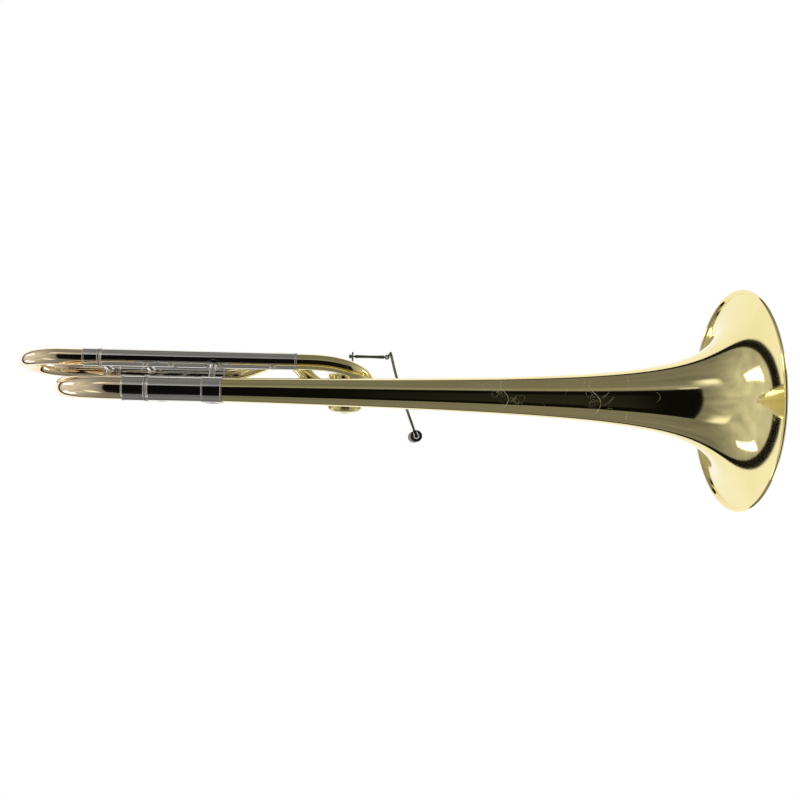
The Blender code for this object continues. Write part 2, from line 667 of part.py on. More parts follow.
# ---- braces -------------------------------------------------------------------------------
def make_braces(nickel):
    sleeve = {"bell": bell_leg_radius + 0.65 * mm, "neck": neck_leg_radius + 0.8 * mm}
    tail = bell_leg_radius + 1.6 * mm
    f_sleeve = f_sleeve_radius + gap / 3
    f_near = (f_near_across, f_near_height)
    f_far = (f_far_across, f_far_height)
    # Name, distance behind the rim, (across, height, tube radius) at each end, foot, and how
    # far the feet spread round their tubes and the first one leans.
    rows = [
        ("sleeve_brace", main_ring - 14 * mm, (0, 0, sleeve["bell"]),
         (leg_spacing, 0, sleeve["neck"]), 20 * mm, (55, 40), -38),
        ("tail_brace", 507.5 * mm, (0, 0, tail),
         (leg_spacing, 0, sleeve["neck"]), 24 * mm, (55, 40), -38),
        ("middle_brace", 455 * mm, (0, 0, bell_outline(444 * mm) + gap),
         (leg_spacing, 0, neck_tube_radius + 0.5 * mm), 22 * mm, (40, 40), 0),
        ("front_brace", 306 * mm, (0, 0, bell_outline(298 * mm) + gap),
         (leg_spacing, 0, neck_tube_radius), 15 * mm, (40, 40), 0),
        ("f_cross_brace", 584 * mm, (*f_near, f_sleeve), (*f_far, f_sleeve), 22 * mm,
         (40, 40), 0),
        ("f_to_bell_brace", 510 * mm, (*f_near, f_sleeve), (0, 0, tail), 18 * mm, (45, 22), 0),
        ("f_to_neck_brace", 540 * mm, (*f_far, f_sleeve), (leg_spacing, 0, sleeve["neck"]),
         14 * mm, (40, 40), 0),
    ]
    for name, behind, (a, b, radius), (c, d, other), foot, spread, lean in rows:
        brace(name, ((place(behind, a, b), radius), (place(behind, c, d), other)), nickel,
              foot, spread, lean)


def main():
    for existing in list(bpy.data.objects):
        bpy.data.objects.remove(existing)
    brass = metal("lacquered_brass", (0.80, 0.58, 0.27), 0.14)
    crook_brass = metal("gold_brass", (0.84, 0.53, 0.26), 0.15)
    nickel = metal("nickel_silver", (0.66, 0.64, 0.58), 0.18)
    steel = metal("plated_steel", (0.62, 0.61, 0.58), 0.22)
    rubber = metal("bumper_rubber", (0.05, 0.05, 0.05), 0.7, 0.0)
    black = metal("black_plastic", (0.015, 0.015, 0.015), 0.35, 0.0)
    pad_grey = metal("pad_grey", (0.42, 0.36, 0.35), 0.6, 0.0)
    make_bell(brass)
    make_main_slide(crook_brass, nickel)
    make_f_slide(crook_brass, nickel)
    make_f_tubes(brass)
    make_neck(brass, nickel)
    make_valve(brass, nickel, steel, rubber)
    make_lever(steel, brass, black, pad_grey)
    make_braces(nickel)


main()
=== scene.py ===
import json
import math
import random

import bpy
from mathutils import Matrix, Vector


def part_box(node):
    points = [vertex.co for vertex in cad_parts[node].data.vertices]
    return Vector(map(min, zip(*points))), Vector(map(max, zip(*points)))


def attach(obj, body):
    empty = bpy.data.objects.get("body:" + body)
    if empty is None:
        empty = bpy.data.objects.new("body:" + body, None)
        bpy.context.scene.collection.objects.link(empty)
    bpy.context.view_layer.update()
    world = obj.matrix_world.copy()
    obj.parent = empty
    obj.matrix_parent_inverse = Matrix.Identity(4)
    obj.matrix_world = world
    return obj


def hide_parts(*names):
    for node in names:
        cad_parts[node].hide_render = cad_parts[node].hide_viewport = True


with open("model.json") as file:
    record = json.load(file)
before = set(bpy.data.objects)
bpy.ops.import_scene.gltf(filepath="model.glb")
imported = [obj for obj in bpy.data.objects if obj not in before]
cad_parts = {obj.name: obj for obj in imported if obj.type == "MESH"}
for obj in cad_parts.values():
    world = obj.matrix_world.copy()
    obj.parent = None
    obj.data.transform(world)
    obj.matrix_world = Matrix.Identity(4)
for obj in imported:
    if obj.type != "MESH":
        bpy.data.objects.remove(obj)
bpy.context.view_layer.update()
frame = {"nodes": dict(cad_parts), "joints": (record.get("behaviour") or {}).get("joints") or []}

mm = 0.001
gap = 0.3 * mm
along, across, upward = Vector((1, 0, 0)), Vector((0, 1, 0)), Vector((0, 0, 1))
print("frame loaded:", len(frame["nodes"]), "nodes")


def deselectAll():
    bpy.ops.object.select_all(action="DESELECT")


def pickOnly(piece):
    deselectAll()
    piece.select_set(True)
    bpy.context.view_layer.objects.active = piece


def evenSteps(first, last, count):
    return [first + (last - first) * step / (count - 1) for step in range(count)]


def middleOf(node):
    low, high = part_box(node)
    return (low + high) / 2


def legLine(node):
    # x range, axis point and radius of a node turned on an axis along X
    low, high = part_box(node)
    return low.x, high.x, (low + high) / 2, (high.z - low.z) / 2


def applyModifier(piece, kind, **values):
    pickOnly(piece)
    step = piece.modifiers.new(kind.title(), kind)
    for name, value in values.items():
        setattr(step, name, value)
    bpy.ops.object.modifier_apply(modifier=step.name)


def cutAway(piece, cutter):
    applyModifier(piece, "BOOLEAN", object=cutter, operation="DIFFERENCE", solver="EXACT")
    bpy.data.objects.remove(cutter)


def cutSlot(screw, place, size):
    bpy.ops.mesh.primitive_cube_add(size=1, location=place, scale=size)
    cutAway(screw, bpy.context.object)


def joinPieces(pieces):
    pickOnly(pieces[0])
    for piece in pieces[1:]:
        piece.select_set(True)
    bpy.ops.object.join()
    return bpy.context.object


def editMesh(selection):
    bpy.ops.object.mode_set(mode="EDIT")
    bpy.ops.mesh.select_all(action=selection)


def closeEdit():
    # leaves edit mode with every face outwards
    bpy.ops.mesh.select_all(action="SELECT")
    bpy.ops.mesh.normals_make_consistent(inside=False)
    bpy.ops.object.mode_set(mode="OBJECT")


def turnOnLathe(centre, axis, profile, segments=64, ends="joined"):
    # a circle is extruded and resized from station to station, as on a lathe
    deselectAll()
    place, radius = profile[0]
    tilt = upward.rotation_difference(axis).to_euler()
    bpy.ops.mesh.primitive_circle_add(vertices=segments, radius=radius, fill_type="NOTHING",
                                      location=centre + axis * place, rotation=tilt)
    piece = bpy.context.object
    editMesh("SELECT")
    for nextPlace, nextRadius in profile[1:]:
        bpy.ops.mesh.extrude_region_move(
            TRANSFORM_OT_translate={"value": tuple(axis * (nextPlace - place))})
        bpy.ops.transform.resize(value=(nextRadius / radius,) * 3,
                                 center_override=centre + axis * nextPlace)
        place, radius = nextPlace, nextRadius
    bpy.ops.mesh.select_mode(type="EDGE")
    bpy.ops.mesh.select_all(action="DESELECT")
    bpy.ops.mesh.select_non_manifold()
    if ends == "joined":
        bpy.ops.mesh.bridge_edge_loops()
    else:
        bpy.ops.mesh.fill_holes(sides=0)
    closeEdit()
    return piece


def bendTube(points, radii, wall=None, sides=10):
    # a curve with a round bevel, made a mesh and given its wall
    deselectAll()
    bpy.ops.curve.primitive_nurbs_path_add(location=(0, 0, 0))
    tube = bpy.context.object
    tube.data.splines.clear()
    line = tube.data.splines.new("POLY")
    line.points.add(len(points) - 1)
    widest = max(radii)
    for spot, point, radius in zip(line.points, points, radii):
        spot.co = (*point, 1)
        spot.radius = radius / widest
    tube.data.bevel_depth = widest
    tube.data.bevel_resolution = sides
    tube.data.use_fill_caps = wall is None
    bpy.ops.object.convert(target="MESH")
    tube = bpy.context.object
    editMesh("SELECT")
    bpy.ops.mesh.remove_doubles(threshold=0.01 * mm)
    closeEdit()
    if wall is not None:
        applyModifier(tube, "SOLIDIFY", thickness=wall, offset=-1)
    return tube


def smoothRoute(points, steps):
    ends = [2 * points[0] - points[1]] + points + [2 * points[-1] - points[-2]]
    route = []
    for a, b, c, d in zip(ends, ends[1:], ends[2:], ends[3:]):
        for step in range(steps):
            t = step / steps
            route.append(0.5 * (2 * b + (c - a) * t + (2 * a - 5 * b + 4 * c - d) * t * t
                                + (3 * b - a - 3 * c + d) * t ** 3))
    return route + [points[-1]]


def finishPiece(piece, name, body, finish, nodes=(), angle=35):
    # the place goes into the mesh, and the piece rides on its body
    pickOnly(piece)
    bpy.ops.object.transform_apply(location=True, rotation=True, scale=True)
    bpy.ops.object.shade_smooth_by_angle(angle=math.radians(angle))
    piece.name = name
    piece.data.name = name
    piece.data.materials.clear()
    piece.data.materials.append(finish)
    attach(piece, body)
    if nodes:
        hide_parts(*nodes)
    return piece


def addNode(nodes, kind, **values):
    # spaces in a socket's name are left out here
    node = nodes.new("ShaderNode" + kind)
    sockets = {socket.name.replace(" ", ""): socket for socket in reversed(node.inputs)}
    for name, value in values.items():
        sockets[name].default_value = value
    return node


def addTones(nodes, deepTone, tone, edge=0.0):
    tones = addNode(nodes, "ValToRGB")
    for element, position, colour in zip(tones.color_ramp.elements, (edge, 1 - edge),
                                         (deepTone, tone)):
        element.position = position
        element.color = (*colour, 1)
    return tones


def newFinish(name, look, coats, cloudScale, cloudDetail, edge):
    # a cloudy noise drifts between two tones of the look
    finish = bpy.data.materials.new(name)
    finish.use_nodes = True
    nodes, links = finish.node_tree.nodes, finish.node_tree.links
    shader = nodes["Principled BSDF"]
    for socket, value in coats.items():
        shader.inputs[socket].default_value = value
    coords = addNode(nodes, "TexCoord").outputs["Object"]
    cloud = addNode(nodes, "TexNoise", Scale=cloudScale, Detail=cloudDetail)
    tones = addTones(nodes, look["deepTone"], look["tone"], edge)
    links.new(coords, cloud.inputs["Vector"])
    links.new(cloud.outputs["Fac"], tones.inputs["Fac"])
    links.new(tones.outputs["Color"], shader.inputs["Base Color"])
    return finish, shader, coords, cloud.outputs["Fac"]


def addSurface(finish, shader, gloss, spread, relief, strength, depth):
    # gloss sets the roughness through spread, and relief sets the bump
    nodes, links = finish.node_tree.nodes, finish.node_tree.links
    bump = addNode(nodes, "Bump", Strength=strength, Distance=depth)
    links.new(gloss, spread.inputs["Value"])
    links.new(spread.outputs["Result"], shader.inputs["Roughness"])
    links.new(relief, bump.inputs["Height"])
    links.new(bump.outputs["Normal"], shader.inputs["Normal"])


def polishedMetal(name, look):
    # two tones drift over the metal, fine streaks run along the tube, and old handling dulls it
    coats = {"Metallic": 1.0, "Coat Weight": look["lacquer"], "Coat Roughness": 0.05}
    finish, shader, coords, _ = newFinish(name, look, coats, look["driftScale"], 4, 0.3)
    nodes, links = finish.node_tree.nodes, finish.node_tree.links
    stretch = addNode(nodes, "Mapping", Scale=(25, 900, 900))
    streaks = addNode(nodes, "TexNoise", Scale=1, Detail=3)
    ripple = addNode(nodes, "TexNoise", Scale=60, Detail=1)
    spread = addNode(nodes, "MapRange", FromMin=0.3, FromMax=0.75, ToMin=look["polish"],
                     ToMax=look["dull"])
    links.new(coords, stretch.inputs["Vector"])
    links.new(coords, ripple.inputs["Vector"])
    links.new(stretch.outputs["Vector"], streaks.inputs["Vector"])
    addSurface(finish, shader, streaks.outputs["Fac"], spread, ripple.outputs["Fac"],
               look["ripple"], 0.0004)
    return finish


def mouldedFinish(name, look):
    # a fine grain over a plain or mottled colour
    finish, shader, _, grain = newFinish(name, look, {}, look["grainScale"], 6, 0.35)
    spread = addNode(finish.node_tree.nodes, "MapRange", ToMin=look["polish"],
                     ToMax=look["dull"])
    addSurface(finish, shader, grain, spread, grain, look["grain"], 0.0002)
    return finish


brass = polishedMetal("lacqueredBrass", {
    "tone": (0.90, 0.79, 0.40), "deepTone": (0.83, 0.71, 0.32), "driftScale": 14,
    "polish": 0.045, "dull": 0.10, "ripple": 0.05, "lacquer": 0.25})
# the crooks' own pinker brass, with its tone raised paler and brighter as painted light for the
# lamp highlight on the bends
crookBrassPaintedBright = polishedMetal("goldBrassPaintedBright", {
    "tone": (0.98, 0.81, 0.56), "deepTone": (0.94, 0.74, 0.46), "driftScale": 18,
    "polish": 0.05, "dull": 0.12, "ripple": 0.06, "lacquer": 0.25})
nickel = polishedMetal("nickelSilver", {
    "tone": (0.78, 0.75, 0.69), "deepTone": (0.68, 0.65, 0.59), "driftScale": 22,
    "polish": 0.06, "dull": 0.14, "ripple": 0.04, "lacquer": 0.0})
steel = polishedMetal("platedSteel", {
    "tone": (0.36, 0.34, 0.28), "deepTone": (0.20, 0.19, 0.15), "driftScale": 90,
    "polish": 0.08, "dull": 0.20, "ripple": 0.06, "lacquer": 0.0})
cutLine = polishedMetal("cutBrass", {
    "tone": (0.95, 0.88, 0.58), "deepTone": (0.80, 0.70, 0.38), "driftScale": 120,
    "polish": 0.25, "dull": 0.45, "ripple": 0.0, "lacquer": 0.0})
rubber = mouldedFinish("bumperRubber", {
    "tone": (0.035, 0.034, 0.033), "deepTone": (0.015, 0.015, 0.015), "grainScale": 900,
    "polish": 0.5, "dull": 0.8, "grain": 0.5})
blackPlastic = mouldedFinish("blackMoulding", {
    "tone": (0.016, 0.016, 0.017), "deepTone": (0.008, 0.008, 0.009), "grainScale": 1500,
    "polish": 0.22, "dull": 0.42, "grain": 0.15})
# a pale grey used only for the painted highlight crescent on the thumb button
paintedHighlightGrey = mouldedFinish("paintedHighlightGrey", {
    "tone": (0.72, 0.71, 0.70), "deepTone": (0.58, 0.57, 0.56), "grainScale": 800,
    "polish": 0.25, "dull": 0.45, "grain": 0.15})
padGrey = mouldedFinish("greyPad", {
    "tone": (0.60, 0.48, 0.46), "deepTone": (0.46, 0.36, 0.35), "grainScale": 700,
    "polish": 0.55, "dull": 0.85, "grain": 0.35})
print("finishes made")


def beadArc(place, radius, height, half, steps=7):
    # the half-round of a bead on a surface of the given radius
    return [(place - half * math.cos(a), radius + height * math.sin(a))
            for a in evenSteps(0, math.pi, steps)]


def stepsFrom(place, radius, *steps):
    # stations on a lathe, given in mm from a place and a radius
    return [(place + further * mm, radius + wider * mm) for further, wider in steps]


def easedRing(low, high, inner, outer, ease):
    # a ring's section with its two outer edges eased
    return [(low, inner), (low, outer - ease), (low + ease, outer), (high - ease, outer),
            (high, outer - ease), (high, inner)]


def ferruleProfile(start, end, radius, inner, bead):
    # a sleeve with a half-round bead at each end and slightly eased edges
    half = 0.75 * mm
    profile = [(start, inner), (start, radius - 0.1 * mm)]
    profile += beadArc(start + half, radius, bead, half)
    profile += [(start + 2.3 * half, radius), (end - 2.3 * half, radius)]
    profile += beadArc(end - half, radius, bead, half)
    return profile + [(end, radius - 0.1 * mm), (end, inner)]


bell = {"flareDepth": 13 * mm, "power": 0.612, "wall": 0.7 * mm, "bead": 1.7 * mm,
        "segments": 128, "stations": 64}
flareLow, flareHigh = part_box("bell_flare")
stemLow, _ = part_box("bell_stem")
bellCentre = Vector((flareHigh.x, (flareLow.y + flareHigh.y) / 2, 0))
bellRadius = (flareHigh.z - flareLow.z) / 2


def bellRadiusAt(behind):
    return bellRadius * (bell["flareDepth"] / (behind + bell["flareDepth"])) ** bell["power"]


def makeBell():
    length = flareHigh.x - stemLow.x
    bead = bell["bead"]
    lipStart = 0.9 * mm
    behind = [lipStart + (length - lipStart) * (step / (bell["stations"] - 1)) ** 2.2
              for step in range(bell["stations"])]
    outside = [(-place, bellRadiusAt(place)) for place in reversed(behind)]
    inside = [(-place, bellRadiusAt(place) - bell["wall"]) for place in behind]
    beadTurn = [(-bead + bead * math.cos(a), bellRadius - bead + bead * math.sin(a))
                for a in evenSteps(math.radians(250), math.radians(-60), 20)]
    piece = turnOnLathe(bellCentre, along, outside + beadTurn + inside, bell["segments"])
    finishPiece(piece, "bell", "instrument", brass,
                ("bell_flare", "bell_stem"), angle=60)


engraving = {"line": 0.11 * mm, "lift": -0.03 * mm, "seed": 11, "leaves": 15,
             "sprays": ((232 * mm, 0.95, 15 * mm), (146 * mm, 0.85, 26 * mm)),
             "arcs": ((196, 0.35, 0.75), (198, -0.65, -0.30), (176, 0.1, 0.6),
                      (118, -0.95, -0.45), (117, 0.30, 0.95), (92, -0.15, 0.25),
                      (262, 0.5, 0.8), (264, -0.8, -0.5))}


def onBell(behind, turn):
    # turn is the angle round the bell, 0 at the side away from the neck
    radius = bellRadiusAt(behind) + engraving["lift"]
    return bellCentre + Vector((-behind, -radius * math.cos(turn), radius * math.sin(turn)))


def cutStroke(points, weight):
    # a graver's cut swells and thins along its length
    radii = [engraving["line"] * weight * (0.3 + 0.7 * math.sin(math.pi * t))
             for t in evenSteps(0.03, 0.97, len(points))]
    return bendTube(points, radii, sides=1)


def makeEngraving():
    chance = random.Random(engraving["seed"])
    strokes = []
    for behind, reach, width in engraving["sprays"]:
        # a long S crosses the side of the bell, and leaves and tendrils spring from it
        def onStem(t):
            wave = width * (0.5 - t) * math.cos(1.6 * (2 * t - 1)) + 2 * mm * math.sin(9 * t)
            return behind + wave, reach * (1 - 2 * t)
        strokes.append(cutStroke([onBell(*onStem(t)) for t in evenSteps(0, 1, 40)], 1.7))
        for leaf in range(engraving["leaves"]):
            t = (leaf + chance.uniform(0.1, 0.9)) / engraving["leaves"]
            place, turn = onStem(t)
            side = chance.choice((-1, 1, 1))
            length = chance.uniform(5, 15) * mm
            lean = chance.uniform(-0.9, 0.9)
            fat = chance.uniform(0.6, 1.6) * mm
            radius = bellRadiusAt(place)
            for edge in (-1, 1):
                leafEdge = []
                for u in evenSteps(0, 1, 12):
                    bulge = edge * fat * math.sin(math.pi * u ** 0.8) + lean * length * u * u
                    leafEdge.append(onBell(place + side * length * u, turn + bulge / radius))
                strokes.append(cutStroke(leafEdge, 0.75))
            if leaf % 3 == 0:                          # a tendril that rolls up at its end
                hand = chance.choice((-1, 1))
                curl = []
                for u in evenSteps(0, 1, 26):
                    swing = 1.7 * math.pi * u
                    loose = 4.5 * mm * (1 - 0.75 * u)
                    curl.append(onBell(place + side * (length * 0.9 + loose * math.sin(swing)),
                                       turn + hand * (loose * math.cos(swing) - 2 * mm) / radius))
                strokes.append(cutStroke(curl, 0.9))
    for behind, low, high in engraving["arcs"]:
        bow = chance.uniform(2, 5) * mm
        arc = [onBell(behind * mm - bow * math.sin(math.pi * t), low + (high - low) * t)
               for t in evenSteps(0, 1, 18)]
        strokes.append(cutStroke(arc, 0.8))
    finishPiece(joinPieces(strokes), "bellEngraving", "instrument", cutLine)


makeBell()
makeEngraving()
print("bell made")


sleeve = {"wall": 0.55 * mm, "ringHeight": 1.0 * mm, "ringHalf": 1.1 * mm, "lip": 0.5 * mm}


def makeSleeve(node, name):
    start, end, centre, ringRadius = legLine(node)
    centre = Vector((0, centre.y, centre.z))
    radius = ringRadius - sleeve["ringHeight"]
    inner = radius - sleeve["wall"]
    ring = start + sleeve["ringHalf"] + sleeve["lip"]
    profile = [(start, inner)] + stepsFrom(start, radius, (0, 0.25), (0.3, 0.4))
    profile.append((start + sleeve["lip"], radius + 0.1 * mm))
    profile += beadArc(ring, radius, sleeve["ringHeight"], sleeve["ringHalf"], 11)
    profile += [(ring + sleeve["ringHalf"] + 0.4 * mm, radius), (end, radius), (end, inner)]
    piece = turnOnLathe(centre, along, profile)
    finishPiece(piece, name, "instrument", nickel, (node,))


def makeLeg(node, name, body):
    start, end, centre, radius = legLine(node)
    centre = Vector((0, centre.y, centre.z))
    profile = easedRing(start, end, radius - sleeve["wall"], radius, 0.15 * mm)
    piece = turnOnLathe(centre, along, profile)
    finishPiece(piece, name, body, nickel, (node,))


def makeFerrule(node, name, body, wall, bead):
    start, end, centre, outer = legLine(node)
    centre = Vector((0, centre.y, centre.z))
    radius = outer - bead
    piece = turnOnLathe(centre, along, ferruleProfile(start, end, radius, radius - wall, bead))
    finishPiece(piece, name, body, nickel, (node,))


def makeSeamRing():
    # a thin ring where the near sleeve ends and the brass begins
    _, _, centre, outer = legLine("f_near_ferrule")
    section = stepsFrom(0, outer, (-0.9, -0.65), (-0.9, -0.5), (-0.6, -0.3), (0.6, -0.3),
                        (0.9, -0.5), (0.9, -0.65))
    piece = turnOnLathe(centre, along, section)
    finishPiece(piece, "fSeamRing", "instrument", nickel, ("f_near_ferrule",))


for partNode, partName in (("main_outer_sleeve_bell", "mainSleeveBell"),
                           ("main_outer_sleeve_neck", "mainSleeveNeck"),
                           ("f_outer_sleeve_near", "fSleeveNear"),
                           ("f_outer_sleeve_far", "fSleeveFar")):
    makeSleeve(partNode, partName)
for partNode, partName, partBody in (
        ("main_inner_leg_bell", "mainInnerLegBell", "main_tuning_slide"),
        ("main_inner_leg_neck", "mainInnerLegNeck", "main_tuning_slide"),
        ("f_inner_leg_near", "fInnerLegNear", "f_tuning_slide"),
        ("f_inner_leg_far", "fInnerLegFar", "f_tuning_slide")):
    makeLeg(partNode, partName, partBody)
for partNode, partName, partBody, partWall, partBead in (
        ("bell_tail_ferrule", "bellTailFerrule", "instrument", 0.25 * mm, 0.4 * mm),
        ("neck_side_ferrule", "neckSideFerrule", "instrument", 0.4 * mm, 0.4 * mm),
        ("main_slide_ferrule_bell", "mainFerruleBell", "main_tuning_slide", 0.6 * mm, 0.5 * mm),
        ("main_slide_ferrule_neck", "mainFerruleNeck", "main_tuning_slide", 0.6 * mm, 0.5 * mm),
        ("f_slide_ferrule_near", "fFerruleNear", "f_tuning_slide", 0.5 * mm, 0.4 * mm),
        ("f_slide_ferrule_far", "fFerruleFar", "f_tuning_slide", 0.5 * mm, 0.4 * mm)):
    makeFerrule(partNode, partName, partBody, partWall, partBead)
makeSeamRing()
makeFerrule("f_far_ferrule", "fFarFerrule", "instrument", 0.45 * mm, 0.4 * mm)
print("sleeves and ferrules made")


crook = {"wall": 0.7 * mm, "steps": 49, "bellRadius": 11.2 * mm, "neckRadius": 8.2 * mm,
         "fRadius": 7.8 * mm}


def makeCrook(node, name, body, legs, radii):
    low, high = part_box(node)
    near, far = middleOf(legs[0]), middleOf(legs[1])
    near.x = far.x = 0
    half = (far - near) / 2
    bendRadius = (radii[0] + radii[1]) / 2
    bendStart = low.x + half.length + bendRadius
    centre = (near + far) / 2 + along * bendStart
    points = [near + along * high.x, near + along * ((high.x + bendStart) / 2)]
    points += [centre - math.cos(a) * half - math.sin(a) * half.length * along
               for a in evenSteps(0, math.pi, crook["steps"])]
    points += [far + along * ((high.x + bendStart) / 2), far + along * high.x]
    tube = bendTube(points, evenSteps(radii[0], radii[1], len(points)), crook["wall"])
    finishPiece(tube, name, body, crookBrassPaintedBright, (node,), angle=50)


makeCrook("main_crook", "mainCrook", "main_tuning_slide",
          ("main_inner_leg_bell", "main_inner_leg_neck"),
          (crook["bellRadius"], crook["neckRadius"]))
makeCrook("f_crook", "fCrook", "f_tuning_slide", ("f_inner_leg_near", "f_inner_leg_far"),
          (crook["fRadius"], crook["fRadius"]))
print("crooks made")


valve = {"portReach": 17 * mm, "stub": 3 * mm, "portHeight": 4 * mm, "tube": 7.8 * mm,
         "neckTube": 7.9 * mm, "wall": 0.7 * mm, "floor": -12 * mm, "top": 20 * mm,
         "bendTurn": math.radians(135), "lateFall": 1.8}
valveAxis = middleOf("valve_casing")
valveAxis.z = 0
portOffset = valve["portReach"] * math.sin(math.pi / 4)
knuckleOffset = portOffset + valve["stub"]
neckAxis = middleOf("slide_receiver")


# the route is in mm: behind the rim, inward from the bell's axis, and height
farTube = {"out": 7 * mm, "rise": 0.5 * mm,
           "route": ((417, 57, 13), (431, 63.5, 28), (450, 82, 33.5), (468, 99.5, 28.5)),
           "meets": (487, 3), "straight": 502}


def fromValve(forward, sideways, height):
    return valveAxis + Vector((forward, sideways, height))


def makeNearBend():
    leg = middleOf("f_outer_sleeve_near")
    low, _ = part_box("f_near_bend")
    turn = valve["bendTurn"]
    bend = (valveAxis.y - knuckleOffset - leg.y) / (1 - math.cos(turn))
    bendStart = valveAxis.x + knuckleOffset - bend * math.sin(turn)
    straight = bendStart - low.x

    def heightAfter(travel):
        # it falls more towards the valve
        part = (travel / (straight + bend * turn)) ** valve["lateFall"]
        return leg.z + (valve["portHeight"] - leg.z) * part * part * (3 - 2 * part)

    points = [Vector((low.x + travel, leg.y, heightAfter(travel)))
              for travel in evenSteps(0, 0.92 * straight, 13)]
    points += [Vector((bendStart + bend * math.sin(angle), leg.y + bend * (1 - math.cos(angle)),
                       heightAfter(straight + bend * angle)))
               for angle in evenSteps(0, turn, 41)]
    points.append(fromValve(portOffset, -portOffset, valve["portHeight"]))
    tube = bendTube(points, [valve["tube"]] * len(points), valve["wall"])
    finishPiece(tube, "fNearBend", "instrument", brass, ("f_near_bend",), 50)


def makeFarTube():
    leg = middleOf("f_outer_sleeve_far")
    low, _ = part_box("f_far_tube")
    out = farTube["out"]
    meetBehind, meetShift = farTube["meets"]
    start = fromValve(-knuckleOffset, -knuckleOffset, valve["portHeight"])
    route = [start, start + Vector((-out, -out, farTube["rise"]))]
    route += [Vector((flareHigh.x - behind * mm, bellCentre.y + inward * mm, height * mm))
              for behind, inward, height in farTube["route"]]
    route += [Vector((flareHigh.x - meetBehind * mm, leg.y - meetShift * mm,
                      leg.z + meetShift * mm)),
              Vector((flareHigh.x - farTube["straight"] * mm, leg.y, leg.z)),
              Vector((low.x, leg.y, leg.z))]
    points = [fromValve(-portOffset, -portOffset, valve["portHeight"])] + smoothRoute(route, 8)
    tube = bendTube(points, [valve["tube"]] * len(points), valve["wall"])
    finishPiece(tube, "fFarTube", "instrument", brass, ("f_far_tube",), 50)


def makePortTube(node, name, sign, endRadius):
    # sign is -1 towards the slide and 1 towards the receiver
    low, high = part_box(node)
    bend = (neckAxis.y - valveAxis.y - knuckleOffset) / (1 - math.cos(math.pi / 4))
    points = [fromValve(sign * portOffset, portOffset, valve["portHeight"])]
    for turn in evenSteps(math.pi / 4, 0, 17):
        part = turn / (math.pi / 4)
        shift = knuckleOffset + bend * (math.sin(math.pi / 4) - math.sin(turn))
        points.append(Vector((valveAxis.x + sign * shift,
                              neckAxis.y - bend * (1 - math.cos(turn)),
                              valve["portHeight"] * part * part * (3 - 2 * part))))
    lastX = high.x if sign > 0 else low.x
    points += [Vector((points[-1].x * 0.6 + lastX * 0.4, neckAxis.y, 0)),
               Vector((lastX, neckAxis.y, 0))]
    radii = [valve["neckTube"]] * (len(points) - 1) + [endRadius]
    tube = bendTube(points, radii, valve["wall"])
    finishPiece(tube, name, "instrument", brass, (node,), 50)


makeNearBend()
makeFarTube()
makePortTube("valve_to_slide_tube", "valveToSlideTube", -1, 8.7 * mm)
makePortTube("neckpipe", "neckpipe", 1, valve["neckTube"])
print("valve tubes made")


receiver = {"body": 11 * mm, "mouth": 9.9 * mm, "deep": 8.6 * mm, "socket": 33 * mm,
            "collar": 12.6 * mm, "collarAt": (-3 * mm, -6 * mm), "tail": 8.8 * mm}
nut = {"grip": 15 * mm, "grooves": 3, "grooveDepth": 0.6, "threads": 4, "flutes": 36,
       "collarRoom": 12.9 * mm}


def makeReceiver():
    low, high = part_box("slide_receiver")
    centre = Vector((high.x, neckAxis.y, 0))
    back = low.x - high.x
    body, collar = receiver["body"], receiver["collar"]
    front, rear = receiver["collarAt"]
    taper = [(back + 6 * mm + 5 * mm * t, receiver["tail"] + 0.5 * mm
              + (body - receiver["tail"] - 0.5 * mm) * (0.5 - 0.5 * math.cos(math.pi * t)))
             for t in evenSteps(0, 1, 9)]
    profile = [(back, valve["neckTube"] + gap), (back, receiver["tail"])]
    profile += beadArc(back + 1.2 * mm, receiver["tail"], 0.5 * mm, 0.9 * mm)
    profile += taper + easedRing(rear, front, body, collar, 0.3 * mm)
    profile += stepsFrom(0, body, (-0.2, 0), (0, -0.2))
    profile += stepsFrom(0, receiver["mouth"], (0, 0.2), (-0.2, 0))
    profile += [(-receiver["socket"], receiver["deep"]),
                (-receiver["socket"], valve["neckTube"] + gap)]
    piece = turnOnLathe(centre, along, profile)
    finishPiece(piece, "slideReceiver", "instrument", nickel,
                ("slide_receiver",))


def makeLockNut():
    low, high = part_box("lock_nut")
    centre = Vector((0, neckAxis.y, 0))
    grip, deep, room = nut["grip"], nut["grooveDepth"], nut["collarRoom"]
    collarBack = receiver["collarAt"][1] - gap
    profile = [(low.x, receiver["body"] + gap)]
    profile += stepsFrom(low.x, grip, (0, -1.0), (0.5, -0.6), (1.4, 0))
    for groove in range(nut["grooves"]):
        spot = low.x + (5 + 5 * groove) * mm
        profile += stepsFrom(spot, grip, (0, 0), (0.3, -deep), (0.7, -deep), (1.0, 0))
    profile += stepsFrom(high.x, grip, (-1.4, 0), (-0.5, -0.6), (0, -1.0)) + [(high.x, room)]
    for thread in range(nut["threads"]):
        spot = high.x - (1.2 + 1.6 * thread) * mm
        profile += stepsFrom(spot, room, (0, 0), (-0.4, 0.35), (-0.8, 0))
    profile += [(collarBack, room), (collarBack, receiver["body"] + gap)]
    piece = turnOnLathe(centre, along, profile, segments=2 * nut["flutes"])
    finishPiece(piece, "lockNut", "nut", nickel, ("lock_nut",))


makeReceiver()
makeLockNut()
print("receiver made")


casing = {"radius": 18.5 * mm, "bore": 16.5 * mm, "bead": 0.5 * mm, "collar": 9.3 * mm}
cap = {"radius": 17.3 * mm, "flutes": 60, "boss": 4.6 * mm}
stop = {"radius": 18.2 * mm, "inner": 12.5 * mm, "bumperAngle": math.radians(65),
        "arm": 10.3 * mm}


